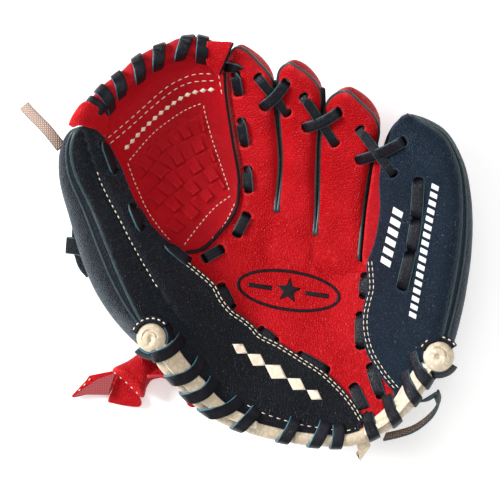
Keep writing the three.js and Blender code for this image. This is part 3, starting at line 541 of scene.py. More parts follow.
def fill_mesh(outline, height, spacing=SPACING, holes=(), rim=(0.35, 0.95), fine=None):
    """Triangles filling a plan outline, on a height surface; fine is a plan area and the
    closer spacing of its points."""
    outline = np.asarray(outline, float)
    if plan_area(outline) < 0:
        outline = outline[::-1]
    rings = [outline + inward_of(outline) * d for d in rim]
    grid = staggered(outline, spacing)
    if fine is not None:
        zone, close = fine
        grid = grid[~inside(grid[:, 0], grid[:, 1], zone)]
        dense = staggered(zone, close)
        grid = np.vstack([grid, dense[inside(dense[:, 0], dense[:, 1], zone)]])
    loops = [outline, *[np.asarray(h, float) for h in holes]]
    closed = [np.vstack([l, l[:1]]) for l in loops]
    far = nearest(grid[:, 0], grid[:, 1], closed[0])[0]
    margin = (rim[-1] if rim else 0) + spacing * 0.45
    keep = inside(grid[:, 0], grid[:, 1], outline) & (far > margin)
    for loop, ring in zip(loops[1:], closed[1:]):
        keep &= ~inside(grid[:, 0], grid[:, 1], loop)
        keep &= nearest(grid[:, 0], grid[:, 1], ring)[0] > spacing * 0.45
    extra = []
    for d, ring in zip(rim, rings):
        gap = nearest(ring[:, 0], ring[:, 1], closed[0])[0]
        good = (gap > 0.8 * d) & inside(ring[:, 0], ring[:, 1], outline)
        for loop, other in zip(loops[1:], closed[1:]):
            good &= ~inside(ring[:, 0], ring[:, 1], loop)
            good &= nearest(ring[:, 0], ring[:, 1], other)[0] > 0.3
        extra.append(ring[good])
    points = np.vstack([*loops, *extra, grid[keep]])
    edges, start = [], 0
    for loop in loops:
        n = len(loop)
        edges += [(start + i, start + (i + 1) % n) for i in range(n)]
        start += n
    verts, _, faces, *_ = geometry.delaunay_2d_cdt(points.tolist(), edges, [], 0, 1e-5)
    xy = np.array([tuple(v) for v in verts])
    faces = np.array([f for f in faces if len(f) == 3])
    middle = xy[faces].mean(1)
    good = inside(middle[:, 0], middle[:, 1], outline)
    for loop in loops[1:]:
        good &= ~inside(middle[:, 0], middle[:, 1], loop)
    faces = faces[good]
    used = np.unique(faces)
    renumber = np.full(len(xy), -1)
    renumber[used] = np.arange(len(used))
    xy = xy[used]
    faces = renumber[faces]
    a, b, c = xy[faces[:, 0]], xy[faces[:, 1]], xy[faces[:, 2]]
    turn = (b[:, 0] - a[:, 0]) * (c[:, 1] - a[:, 1]) - (b[:, 1] - a[:, 1]) * (c[:, 0] - a[:, 0])
    faces[turn < 0] = faces[turn < 0][:, ::-1]
    return np.column_stack([xy, height(xy[:, 0], xy[:, 1])]), faces.tolist()


def ellipse(cx, cy, rx, ry, turn=0.0, count=16):
    """A plan ellipse; rx lies along the direction turn, in radians."""
    a = np.linspace(0, 2 * np.pi, count, endpoint=False)
    u, v = rx * np.cos(a), ry * np.sin(a)
    return np.stack([cx + u * math.cos(turn) - v * math.sin(turn),
                     cy + u * math.sin(turn) + v * math.cos(turn)], -1)


# ------------------------------------------------------------------ camera, light, floor


EYE_HEIGHT = 1.80  # metres above the floor
LENS, SENSOR = 252.0, 36.0
FLOOR_REACH, FLOOR_DROP = 3.0, 0.0004
# Name, place, what it points at, diameter, power and colour; in metres and watts.
LAMPS = [
    ("key", (-1.25, 0.35, 0.85), (0.02, 0, 0.04), 0.6, 34.0, (0.95, 0.98, 1.0)),
    ("fill", (0.7, -0.9, 1.1), (0, 0, 0.04), 0.9, 5.0, (1.0, 0.98, 0.96)),
    ("top", (0.1, 0.5, 1.5), (0, 0, 0.0), 0.8, 6.0, (1, 1, 1)),
]
WORLD_STRENGTH = 0.5


def make_studio():
    """The camera straight above, soft lights and a pale floor."""
    camera = bpy.data.cameras.new("camera")
    camera.lens, camera.sensor_width = LENS, SENSOR
    camera.clip_start, camera.clip_end = 0.1, 20.0
    eye = bpy.data.objects.new("camera", camera)
    bpy.context.scene.collection.objects.link(eye)
    eye.location = (*(metres([0, 0, 0])[:2]), EYE_HEIGHT)
    bpy.context.scene.camera = eye

    for name, place, aim, size, power, color in LAMPS:
        light = bpy.data.lights.new(name, "AREA")
        light.shape, light.size, light.energy, light.color = "DISK", size, power, color
        lamp = bpy.data.objects.new(name, light)
        bpy.context.scene.collection.objects.link(lamp)
        lamp.location = place
        direction = np.array(aim, float) - np.array(place, float)
        lamp.rotation_mode = "QUATERNION"
        lamp.rotation_quaternion = Vector(direction).to_track_quat("-Z", "Y")

    world = bpy.data.worlds.new("studio")
    world.use_nodes = True
    world.node_tree.nodes["Background"].inputs["Color"].default_value = (1.0, 1.0, 1.0, 1)
    world.node_tree.nodes["Background"].inputs["Strength"].default_value = WORLD_STRENGTH
    bpy.context.scene.world = world
    bpy.context.scene.view_settings.view_transform = "Standard"

    mesh = bpy.data.meshes.new("floor")
    corners = [(x * FLOOR_REACH, y * FLOOR_REACH, 0)
               for x, y in ((-1, -1), (1, -1), (1, 1), (-1, 1))]
    mesh.from_pydata(corners, [], [(0, 1, 2, 3)])
    floor = bpy.data.objects.new("floor", mesh)
    floor.location.z = -FLOOR_DROP
    bpy.context.scene.collection.objects.link(floor)
    mesh.materials.append(plain("floor", (0.92, 0.92, 0.92), (0.94, 0.94, 0.94), 0.9, 20.0,
                                Emission_Color=(1, 1, 1, 1), Emission_Strength=0.3))


make_studio()

# ------------------------------------------------------------------ free cords


def lace_tail(name, line, node, body, first_up, last_up):
    """A free lace end, whose finished face turns from one direction to another."""
    points = resample(line, 1.2)
    k = np.linspace(0, 1, len(points))[:, None]
    mesh = strip_mesh(points, np.array(first_up) * (1 - k) + np.array(last_up) * k)
    obj = strips(name, [mesh], body, [node])
    route = metres(points)
    return obj


lace_tail("web_tail", [[-94, 51, 55], [-97.5, 55.5, 56.5], [-101, 59.8, 56],
                       [-104.7, 63.6, 53.5], [-108.2, 67, 50], [-111.2, 70, 46],
                       [-113.2, 72.4, 41.5]],
          "web_lace_tail", "thumb_side", (0, 0, -1.0), (0, 0, -1.0))
lace_tail("wrist_tail", [[93.5, -72, 47], [94.8, -76.5, 42], [92.5, -82, 36],
                         [88, -87, 30], [82.5, -91, 24], [76, -93.5, 18], [69, -95.5, 12]],
          "wrist_lace_loop", "pinky_side", (0.85, -0.5, -0.15), (0.25, -0.8, -0.75))
root_line = resample([[82, -76, 41], [87.5, -75.5, 44.5], [91, -73.6, 46.4], [93.8, -71.8, 47]],
                     1.2)
strips("wrist_tail_root", [strip_mesh(root_line, np.tile([0.5, -0.8, 0.3], (len(root_line), 1)))],
       "pinky_side")

# ------------------------------------------------------------------ stalls and plan lines

# One row per station from the open end to the tip: left edge x and y, right edge x and y,
# crown of the front, depth of the back, and how far the back's own edges lie below the seam.
STALLS = {
    "index": [
        [-6.8, 20.5, 12.6, 19.2, 1, 20, 0, 0], [-5.2, 31.5, 13.5, 31, 4.0, 21, 0, 0],
        [-5.6, 41, 14.3, 43, 6.0, 20, 0, 0], [-8.0, 52.5, 13.9, 54, 6.5, 18, 0, 0],
        [-9.4, 61.5, 12.9, 63, 6.5, 17, 0, 0], [-11.2, 73, 12.0, 74, 6.5, 15, 0, 0],
        [-12.2, 86, 11.3, 83, 6.0, 13, 0, 0], [-11.6, 94, 8.5, 88.2, 5.5, 11, 0, 0],
        [-9.6, 98, 4.0, 93, 5.0, 8, 0, 0], [-7, 100.2, -1.8, 98.7, 4.5, 4, 0, 0],
    ],
    "middle": [
        [14.0, 19.2, 32.3, 7.5, 1, 21, 0, 0], [15.4, 29.5, 32.8, 22, 4.0, 22, 0, 0],
        [16.3, 40, 32.9, 34.6, 6.0, 21, 0, 0], [16.4, 50, 33.2, 46, 6.5, 19, 0, 0],
        [15.6, 59, 33.7, 58, 6.5, 17, 0, 0], [14.9, 69, 35.1, 67, 6.5, 15, 0, 0],
        [14.0, 80, 35.4, 75.5, 6.0, 13, 0, 0], [14.3, 87, 33.8, 81, 5.5, 10, 0, 0],
        [16.2, 90.6, 29.3, 86.2, 5.0, 8, 0, 0], [19.4, 92.3, 23.0, 90.6, 4.5, 4, 0, 0],
    ],
    "ring": [
        [33.5, 7.5, 54.7, -5, 1, 23, 0, 0], [34.9, 20, 56.4, 14, 4.0, 24, 0, 0],
        [35.3, 34, 58.0, 28, 6.0, 22, 0, 0], [35.4, 46, 60.2, 42, 6.5, 19, 0, 0],
        [35.8, 57, 62.8, 51.5, 6.5, 17, 0, 0], [37.0, 67.5, 64.0, 58.5, 6.5, 14, 0, 0],
        [38.6, 72.8, 63.2, 63, 6.0, 12, 0, 0], [41.0, 76, 60.6, 67.3, 5.5, 10, 0, 0],
        [44.0, 77.8, 55.5, 72.2, 5.0, 7, 0, 0], [46.8, 78.5, 50.2, 77, 4.5, 4, 0, 0],
    ],
    "thumb": [
        [-52.5, -38, -28.0, -68, 1, 8, 0, 45], [-58.8, -26, -36.0, -46, 1, 17, 0, 46],
        [-65.2, -12, -43.0, -24, 1, 22, 0, 46], [-71.6, 4, -50.5, -2, 1, 23, 0, 45],
        [-78.6, 21, -57.5, 18, 1, 21, 0, 43], [-86.0, 37, -63.5, 35, 1, 18, 0, 33],
        [-88.3, 48, -69.0, 47, 1, 14, 0, 20], [-86.8, 56.5, -74.5, 55.5, 1, 9, 0, 8],
        [-83.5, 60.5, -78.0, 60, 1, 3, 0, 0],
    ],
    "pinky": [
        [56.0, -90, 94.5, -46, 1, 18, 36, 0], [58.0, -62, 97.8, -32, 1, 20, 34, 0],
        [59.5, -40, 100.8, -17, 1, 21, 33, 0], [61.0, -18, 103.0, -3, 1, 21, 33, 0],
        [62.5, 4, 104.2, 12, 1, 20, 33, 0], [64.0, 24, 104.2, 27, 1, 18, 30, 0],
        [65.5, 41, 102.3, 41, 1, 15, 24, 0], [67.5, 54, 96.0, 54.5, 1, 11, 15, 0],
        [71.0, 62, 87.0, 61.5, 1, 7, 6, 0], [75.5, 65.5, 80.5, 65.5, 1, 3, 0, 0],
    ],
}
SEAM_CURVE = 0.8
WEB_RIGHT = [
    [-34, -1.6], [-31.6, -1], [-27.8, -0.7], [-24, 0.6], [-19.1, 4.6], [-15.3, 9], [-11, 13.9],
    [-7.8, 19.3], [-6.3, 24], [-5.8, 31.2], [-5.8, 36.7], [-6.7, 42.9], [-8.5, 52.3],
    [-9.9, 61.2], [-11.6, 72.3], [-12.6, 81.3], [-12.8, 88],
]
WEB_LEFT = [
    [-34.4, 1.2], [-38.2, 2.8], [-41.4, 4.9], [-44.7, 7.9], [-50, 13.7], [-52.8, 18.8],
    [-56.7, 23.9], [-60.5, 32.2], [-63.9, 41], [-66.4, 46], [-68.8, 50.8], [-71.5, 55.6],
]
CHAIN_LEFT = [
    [-36.5, -3.2], [-31.2, -6.9], [-24.9, -12], [-18.5, -17.8], [-14.7, -24.8], [-9.6, -31.1],
    [-4.5, -34.6], [0.7, -38.8], [5, -43.4], [14.5, -48.2], [25.5, -55], [36.5, -62.2],
    [45.8, -71], [51.5, -78], [56, -85.5],
]
CHAIN_RIGHT = [
    [60, -5.6], [60.6, -12.8], [60.8, -19.3], [59.4, -25.3], [58.1, -31.2], [57.7, -37.7],
    [58.7, -45], [61.2, -52.4], [66.2, -60.8], [69.9, -65.6], [73.8, -70],
]
THUMB_STITCH = [
    [-76, 39], [-74.5, 34.1], [-70.2, 25], [-64.4, 14.2], [-59.3, 4], [-53.6, -6.3],
    [-50.3, -11.9], [-47.8, -16.5], [-45.6, -19.4],
]
ROLL_LINE = [
    [-49.1, -43.5], [-43, -55.5], [-35.5, -64.5], [-27, -73.8], [-15.5, -82], [-4, -87],
    [11.5, -91.5], [28, -94.5], [45, -95.5], [55, -93.5], [65, -89], [72.5, -83.3],
    [78.4, -76.8], [84, -69], [89, -61], [94, -53],
]
ROLL_RADIUS = 3.6
ROLL_DROP = 1.5


def makes_stall(rows):
    station = through(rows)

    def frame_at(t):
        lx, ly, rx, ry, crown, depth, low_left, low_right = np.moveaxis(station(t), -1, 0)
        left = np.stack([lx, ly, bowl(lx, ly) - crown], -1)
        right = np.stack([rx, ry, bowl(rx, ry) - crown], -1)
        down = np.array([0, 0, -1.0])
        return (left, right, left + low_left[..., None] * down,
                right + low_right[..., None] * down, depth)

    def ahead_at(t):
        a, b = frame_at(t - 0.01), frame_at(t + 0.01)
        return unit(b[0] + b[1] - a[0] - a[1])

    def back(t, s, lift=0.0):
        """A point of the back: t runs to the tip and s from the left seam to the right."""
        t, s = np.broadcast_arrays(np.asarray(t, float), np.asarray(s, float))
        _, _, left, right, depth = frame_at(t)
        normal = unit(np.cross(ahead_at(t), right - left))
        base = left + (right - left) * ((1 - np.cos(np.pi * s)) / 2)[..., None]
        bulge = (depth + lift) * np.maximum(np.sin(np.pi * s), 0) ** SEAM_CURVE
        return base + normal * bulge[..., None]

    return frame_at, ahead_at, back


STALL = {name: makes_stall(rows) for name, rows in STALLS.items()}
FINGERS = ("index", "middle", "ring")


def seam_line(name, count=60, offset=0.0):
    """The seam of a finger: up its left edge, round the tip and down its right edge."""
    frame_at, ahead_at, _ = STALL[name]
    t = np.linspace(0, 1, count)
    left, right = frame_at(t)[:2]
    chord = unit(right - left)
    tip = (left[-1] + right[-1]) / 2 + ahead_at(np.array(1.0)) * (1.2 + offset)
    return np.vstack([left - chord * offset, [tip], (right + chord * offset)[::-1]])


SEAMS = {name: seam_line(name) for name in FINGERS}
SEAM_DEPTHS = {}
for finger in FINGERS:
    crowns = through(STALLS[finger])(np.linspace(0, 1, 60))[:, 4]
    SEAM_DEPTHS[finger] = np.concatenate([crowns, crowns[-1:], crowns[::-1]])
OUTER_THUMB = STALL["thumb"][0](np.linspace(0, 1, 50))[0]
OUTER_PINKY = STALL["pinky"][0](np.linspace(0, 1, 50))[1]
roll_plan = resample(ROLL_LINE, 1.0)
roll_center = np.column_stack([roll_plan, bowl(*roll_plan.T) - ROLL_DROP])


def beside(line, offset):
    """The plan line moved sideways; a positive offset is to the left of its direction."""
    line = np.asarray(line, float)
    ahead = unit(np.gradient(line[:, :2], axis=0))
    return line[:, :2] + np.stack([-ahead[:, 1], ahead[:, 0]], -1) * offset


ROLL_INNER = beside(roll_plan, 2.7)

# ------------------------------------------------------------------ leather heights


def side_of(x, y, line):
    """1 on the left of a plan line's direction and -1 on its right."""
    line = np.asarray(line, float)[:, :2]
    p = np.stack([np.ravel(x), np.ravel(y)], -1)
    a, d = line[:-1], line[1:] - line[:-1]
    t = np.clip(((p[:, None] - a) * d).sum(-1) / (d * d).sum(-1), 0, 1)
    gap = p[:, None] - (a + t[..., None] * d)
    best = np.linalg.norm(gap, axis=-1).argmin(1)
    rows = np.arange(len(p))
    turn = d[best, 0] * gap[rows, best, 1] - d[best, 1] * gap[rows, best, 0]
    return np.where(turn >= 0, 1.0, -1.0).reshape(np.shape(x))


PALM_CREASES = [
    ([[32.4, 4], [33.4, -3.7], [38.5, -10.8], [46.1, -13.4], [53.8, -10.8], [57, -8]], 1.7, 2.2),
    ([[38, 10], [46, 7.5], [54, 4]], 0.9, 4.0),
    ([[17, 29], [24, 24], [31, 22]], 0.8, 4.0),
    ([[13.2, 18], [10, 8], [9, -6], [12, -16]], 1.1, 4.5),
    ([[32.8, 5.5], [31.5, -3], [31, -12]], 0.9, 1.8),
    ([[2, 26], [8, 22], [12.5, 18.5]], 0.5, 2.0),
]
PALM_MOUNDS = [
    (44.5, -4.0, 8.5, 7.5, 1.9), (24, 13, 7, 8, 0.9), (1, 22, 8, 8, 0.5),
    (46, 20, 7, 8, 0.7), (25, 40, 6, 9, 0.4), (52, -45, 12, 14, 0.8),
]


def red_height(x, y):
    """The palm and finger fronts, dipping at the seams."""
    z = bowl(x, y)
    drops = [rounding(x, y, SEAMS[f], SEAM_DEPTHS[f], 6.8) for f in FINGERS]
    z = z - np.maximum.reduce(drops)
    for line, depth, width in PALM_CREASES:
        z = z + crease(x, y, resample(line, 1.5), depth, width)
    for spot in PALM_MOUNDS:
        z = z + mound(x, y, *spot)
    return z


def round_share(u):
    """A quarter circle's rise from 0 at 0 to 1 at 1."""
    return np.sqrt(np.maximum(1 - (1 - np.clip(u, 0, 1)) ** 2, 0))


def black_height(x, y):
    """The thumb and heel leather, with the padded thumb."""
    puff = 4.2 * smoothstep(-0.5, 1.0, side_of(x, y, THUMB_STITCH))
    gap, along = nearest(x, y, THUMB_STITCH)
    puff = puff * round_share(gap / 9.0) * smoothstep(-48, -22, y)
    valley = -1.1 * np.exp(-((gap / 1.8) ** 2)) * smoothstep(1.0, 0.85, along)
    outer = rounding(x, y, OUTER_THUMB, 1.0, 7.5) * (2.2 + puff)
    swell = 1.0 * round_share(nearest(x, y, CHAIN_LEFT)[0] / 6.0)
    return bowl(x, y) + 0.9 + puff + valley - outer + swell


def navy_height(x, y):
    """The padded little finger and its heel."""
    gap = nearest(x, y, NAVY_INNER)[0]
    puff = 4.4 * round_share(gap / 14.0) * smoothstep(-78, -40, y)
    outer = rounding(x, y, OUTER_PINKY, 1.0, 9.0) * (2.2 + puff)
    return bowl(x, y) + 1.2 + puff - outer


NAVY_INNER = [
    [71.5, -70.5], [66.6, -64.8], [61.8, -57.4], [58.9, -52.6], [57.2, -45.5], [56.2, -37.7],
    [56.6, -30.6], [57.9, -24.6], [59.2, -19], [59, -12.5], [58.6, -8], [60, -3], [62, 2.5],
    [63.7, 10], [65.1, 21.2], [64.6, 31.4], [64.9, 39], [66.5, 47.5], [69, 54.9], [70.7, 61.5],
]

# ------------------------------------------------------------------ laces on the leather


def normals(surface, x, y, reach=0.4):
    """The way a height surface faces."""
    dx = (surface(x + reach, y) - surface(x - reach, y)) / (2 * reach)
    dy = (surface(x, y + reach) - surface(x, y - reach)) / (2 * reach)
    return unit(np.stack([-dx, -dy, np.ones_like(dx)], -1))


def smoothed(values, rounds=2):
    """Rows of numbers eased into each other, with the ends kept."""
    for _ in range(rounds):
        inner = (values[:-2] + 2 * values[1:-1] + values[2:]) / 4
        values = np.concatenate([values[:1], inner, values[-1:]])
    return values


def bowed(a, b, k, bow):
    """Plan points from a to b at the shares k of the way, bowed sideways in between."""
    a, b = np.array(a, float), np.array(b, float)
    along = unit(b - a)
    across = np.array([-along[1], along[0]])
    return a + (b - a) * k[:, None] + across * (bow * np.sin(np.pi * k))[:, None]


DASH_END, DASH_RAMP, DASH_SINK, DASH_ARCH = 0.06, 0.16, 2.2, 0.5


def dash(a, b, surface, lift=LACE_LIFT, bow=0.0, width=LACE_WIDTH, count=17, level=0.0):
    """One visible run of a lace: out of one eyelet, over the leather and into the next."""
    k = np.linspace(-DASH_END, 1 + DASH_END, count)
    plan = bowed(a, b, k, bow)
    rise = smoothstep(0, DASH_RAMP, np.minimum(k + DASH_END, 1 + DASH_END - k))
    z = surface(*plan.T) - DASH_SINK + (DASH_SINK + lift) * rise
    z = z + DASH_ARCH * np.sin(np.pi * np.clip(k, 0, 1))
    facing = unit(normals(surface, *plan.T) + [0, 0, level])
    return strip_mesh(np.column_stack([plan, z]), facing, width)


BRIDGE_END, BRIDGE_RAMP, BRIDGE_SINK, BRIDGE_ARCH = 0.05, 0.13, 2.4, 0.6


def bridge(a, b, surface_a, surface_b, lift, width=LACE_WIDTH, bow=0.0, count=25):
    """A strand from one finger to the next, over the gap between them."""
    k = np.linspace(-BRIDGE_END, 1 + BRIDGE_END, count)
    plan = bowed(a, b, k, bow)
    ground = np.where(k < 0.5, surface_a(*plan.T), surface_b(*plan.T))
    near, far = surface_a(*plan[4][:, None])[0], surface_b(*plan[-5][:, None])[0]
    chord = near + (far - near) * np.clip((k - k[4]) / (k[-5] - k[4]), 0, 1)
    z = np.maximum(ground, chord) + lift + BRIDGE_ARCH * np.sin(np.pi * np.clip(k, 0, 1))
    ends = np.clip(np.minimum(k + BRIDGE_END, 1 + BRIDGE_END - k) / BRIDGE_RAMP, 0, 1)
    climb = (z - ground + BRIDGE_SINK) * ends * ends * (3 - 2 * ends)
    z = np.minimum(z, ground - BRIDGE_SINK + climb)
    z = smoothed(z)
    up = unit(np.stack([0 * k - 0.1, 0 * k - 0.25, 0 * k + 1.0], -1))
    return strip_mesh(np.column_stack([plan, z]), up, width)


def roll_frame(x, y, center):
    """Signed distance from a roll's middle line (outward is positive), its height there, and
    the outward direction."""
    gap, along = nearest(x, y, center[:, :2])
    out = -side_of(x, y, center)
    place = along * (len(center) - 1)
    index = np.arange(len(center))
    zc = np.interp(place, index, center[:, 2])
    ahead = unit(np.gradient(center[:, :2], axis=0))
    ax, ay = np.interp(place, index, ahead[:, 0]), np.interp(place, index, ahead[:, 1])
    return gap * out, zc, unit(np.stack([ay, -ax], -1))


WRAP_LIFT, WRAP_RAMP, WRAP_SINK = 0.85, 0.14, 2.6


def wrap(hole, outer, bow, center, radius, surface, looks=LEFT_EDGE,
         width=LACE_WIDTH + 0.6, under=1.3, count=22):
    """A lace from its eyelet over a roll, down its outer side and under it."""
    hole, outer = np.array(hole, float), np.array(outer, float)
    reach = radius + WRAP_LIFT
    k = np.linspace(0, 1, count)
    aim = unit(outer - hole)
    across = np.array([-aim[1], aim[0]])
    plan = hole + (outer - hole) * k[:, None] + across * (4 * bow * k * (1 - k))[:, None]
    gap, zc, out = roll_frame(*plan.T, center)
    keep = gap < reach * 0.9
    plan, gap, zc, out, k = plan[keep], gap[keep], zc[keep], out[keep], k[keep]
    over = zc + np.sqrt(np.maximum(reach ** 2 - gap ** 2, 0))
    ground = surface(*plan.T) + 0.8
    z = np.where(np.abs(gap) < reach, np.maximum(over, ground), ground)
    z = z - WRAP_SINK * (1 - smoothstep(0, WRAP_RAMP, k))
    z = smoothed(z, 3)
    flat = normals(surface, *plan.T)
    tilt = np.clip(gap / reach, -1, 1)
    radial = np.column_stack([out * tilt[:, None], np.sqrt(1 - tilt ** 2)])
    on_roll = smoothstep(-reach, -reach * 0.5, gap)[:, None]
    up = unit(flat * (1 - on_roll) + radial * on_roll)
    drift = unit(plan[-1] - plan[-3])
    slip = drift - out[-1] * (drift @ out[-1])
    angle = np.linspace(math.acos(tilt[-1]), -under, 9)[1:]
    base = plan[-1] - out[-1] * gap[-1]
    travel = 0.45 * reach * (math.acos(tilt[-1]) - angle)
    xy = base + out[-1] * (reach * np.cos(angle))[:, None] + slip * travel[:, None]
    below = np.column_stack([xy, zc[-1] + reach * np.sin(angle)])
    below_up = np.column_stack([out[-1] * np.cos(angle)[:, None], np.sin(angle)])
    points = smoothed(np.vstack([np.column_stack([plan, z]), below]), 4)
    ups = unit(smoothed(np.vstack([up, below_up]), 5))
    return strip_mesh(points, ups, width, section_looks=looks)


def stitches_mesh(line, surface, length=2.1, space=1.0, radius=THREAD_RADIUS, lift=0.1,
                  sides=6):
    """Separate stitches along a plan line, each one a small rounded thread."""
    route = resample(line, 0.25)
    step = max(1, int(round(length / 0.25)))
    stride = max(step + 1, int(round((length + space) / 0.25)))
    parts = []
    profile = np.array([0.15, 0.85, 1.0, 0.85, 0.15])
    for start in range(0, len(route) - step, stride):
        plan = route[np.linspace(start, start + step, 5).astype(int)]
        sink = np.array([-0.35, 0.05, 0.12, 0.05, -0.35])
        z = surface(*plan.T) + lift + sink
        parts.append(tube_mesh(np.column_stack([plan, z]), radius * profile, sides))
    return merged(parts)


def stitches(name, lines, surface, body, material=None, slot="cream_leather", **sizes):
    """Rows of stitches as one piece."""
    mesh = merged([stitches_mesh(line, surface, **sizes) for line in lines])
    return piece(name, *mesh, material or THREAD, body, slot=slot)


def chain_mesh(line, surface, half=0.75, length=2.4, radius=0.27):
    """Two interlocked rows, as a chain stitch looks from above."""
    parts = []
    for sign in (1, -1):
        row = beside(resample(line, 0.6), sign * half)
        parts.append(stitches_mesh(row, surface, length, 0.5, radius, 0.15))
    return merged(parts)


HOLES = {"red": [], "black": [], "navy": []}


def eyelet(panel, at, toward, along=1.9, across=2.7):
    """Cuts an eyelet for a lace that runs from at towards a second point."""
    at, toward = np.array(at, float), np.array(toward, float)
    direction = unit(toward - at)
    center = at - direction * 0.35
    HOLES[panel].append(ellipse(*center, along, across, math.atan2(direction[1], direction[0])))


def cut_dashes(panel, runs):
    """Both eyelets of each run of lace."""
    for a, b in runs:
        eyelet(panel, a, b)
        eyelet(panel, b, a)


INDEX_DASHES = [
    ([-7.3, 87.0], [-5.9, 78.4]), ([-4.5, 64.3], [-2.8, 53.5]), ([-1.5, 40.4], [-0.8, 30.6]),
    ([-1.9, 17.2], [-6.4, 8.3]),
]
BASE_DASH = ([-14.8, 0.3], [-22.5, -4.0])
THUMB_DASHES = [([-72.0, 52.5], [-67.6, 39.8]), ([-58.6, 21.4], [-54.3, 11.3])]
PINKY_DASHES = [([83.6, 34.0], [82.8, 17.0]), ([82.6, 14.0], [80.6, 0.8]),
                ([79.6, -2.4], [76.0, -18.4])]
CROSS_1 = (([4.2, 85.6], [18.3, 68.6]), ([6.8, 71.6], [17.6, 82.8]))
CROSS_2 = (([26.9, 75.9], [42.4, 53.4]), ([28.0, 61.2], [43.8, 68.4]))
CROSS_3 = (([54.9, 59.6], [71.0, 38.2]), ([54.6, 45.0], [75.4, 53.6]))

PALM_LEFT = [([-14.4, -18.6], [-9.4, -28.4]), ([5.6, -40.8], [12.4, -46.0]),
             ([25.4, -53.4], [38.2, -60.6])]
PALM_RIGHT = [([58.0, -13.4], [57.4, -22.8]), ([55.8, -33.0], [55.6, -48.2]),
              ([60.8, -58.8], [65.4, -72.8]), ([52.3, -69.0], [57.6, -80.2])]

cut_dashes("red", INDEX_DASHES + [BASE_DASH] + PALM_LEFT + PALM_RIGHT)
cut_dashes("black", THUMB_DASHES)
cut_dashes("navy", PINKY_DASHES)
for pair in (CROSS_1, CROSS_2):
    cut_dashes("red", pair)
for a, b in CROSS_3:
    eyelet("red", a, b)
    eyelet("navy", b, a)

# ------------------------------------------------------------------ the leather fronts

red_outline = np.vstack([
    beside(resample(WEB_RIGHT[:9], 1.2), -0.4),
    SEAMS["index"][:, :2], SEAMS["middle"][:, :2], SEAMS["ring"][:, :2],
    [[57.4, -7.2]], resample([[61, -8], [62.5, -14], [61.5, -25], [60, -38], [61, -47.5],
                              [64, -55], [69, -64], [73.5, -70.5]], 1.3),
    ROLL_INNER[(ROLL_INNER[:, 0] > 53) & (ROLL_INNER[:, 0] < 73)][::-1],
    beside(resample(CHAIN_LEFT[::-1], 1.5), 3.0)[3:],
])


def tidy_outline(points, least=0.45):
    """Drops points that crowd their neighbour."""
    kept = [points[0]]
    for p in points[1:]:
        if np.linalg.norm(p - kept[-1]) > least:
            kept.append(p)
    if np.linalg.norm(kept[0] - kept[-1]) < least:
        kept.pop()
    return np.array(kept)


red_outline = tidy_outline(red_outline)
red = fill_mesh(red_outline, red_height, holes=HOLES["red"])
piece("palm_and_finger_fronts", *red, RED, "pinky_fold", slot="red_leather",
      nodes=("palm_shell", "index_front", "middle_front", "ring_front"), thickness=LEATHER)

black_outline = tidy_outline(np.vstack([
    OUTER_THUMB[:, :2], [[-80.5, 62.5], [-76, 61.5], [-72.5, 58]],
    resample(WEB_LEFT[::-1], 1.2), [[-33.5, -1.6]],
    beside(resample(CHAIN_LEFT, 1.2), 1.3)[3:],
    ROLL_INNER[(ROLL_INNER[:, 0] > -46) & (ROLL_INNER[:, 0] < 55)][::-1],
]))
black = fill_mesh(black_outline, black_height, holes=HOLES["black"])
piece("thumb_and_heel_front", *black, BLACK, "thumb_fold", slot="black_leather",
      nodes=("thumb_front", "heel_center_panel"), thickness=LEATHER)

navy_outline = tidy_outline(np.vstack([
    resample(NAVY_INNER, 1.2), [[74, 65], [78, 66.2]],
    OUTER_PINKY[::-1][:, :2],
    ROLL_INNER[(ROLL_INNER[:, 0] > 73) & (ROLL_INNER[:, 0] < 91)][::-1],
]))
navy = fill_mesh(navy_outline, navy_height, holes=HOLES["navy"])
piece("little_finger_front", *navy, NAVY, "pinky_fold", slot="navy_leather",
      nodes=("pinky_front",), thickness=LEATHER)

# ------------------------------------------------------------------ the web

RIM_EDGE = [
    [-81.5, 71.5], [-77.5, 76.5], [-72.6, 82.0], [-68.8, 85], [-64, 88.6], [-59.3, 93.2],
    [-53.8, 97.2], [-49, 99.8], [-41, 102.7], [-35.3, 105.1], [-26.5, 105.9], [-20, 104.6],
    [-12, 102.5],
]
RIM_RADIUS = 4.6
rim_edge = resample(RIM_EDGE, 1.0)
rim_plan = beside(rim_edge, -RIM_RADIUS)[::-1]
rim_center = np.column_stack([rim_plan, bowl(*rim_plan.T) - 0.8])

# Lines between the rows of the woven emboss, from the top down.
WEAVE = [
    [[-57.1, 43.7], [-49, 52.9], [-43.5, 57.3], [-36, 63.2], [-29.5, 66.2], [-23.5, 67.8]],
    [[-55, 35], [-49, 42.5], [-44.7, 48.5], [-38.2, 53], [-30, 56.7], [-22.5, 59.5]],
    [[-51.7, 27.5], [-46.3, 33.5], [-40.3, 39.5], [-33.3, 44.2], [-27.3, 48], [-19.7, 51.8]],
    [[-48, 20], [-42, 25.8], [-36, 30.7], [-30.5, 36.1], [-24.6, 40], [-17, 44.8]],
    [[-42.5, 12.3], [-38.2, 18.2], [-32.7, 23.1], [-26.8, 28.5], [-20.8, 32.9], [-14.9, 36.7]],
    [[-39.2, 4.7], [-34.9, 9.5], [-30, 13.9], [-24.1, 19.9], [-20.3, 25.3], [-12.4, 31.5]],
]
WEAVE_CELLS = 6.4
WEAVE_HEIGHT = 2.1
WEAVE_FRAME = np.array(
    WEAVE[0] + [line[-1] for line in WEAVE[1:]] + WEAVE[-1][::-1][1:]
    + [line[0] for line in WEAVE[1:-1]][::-1])


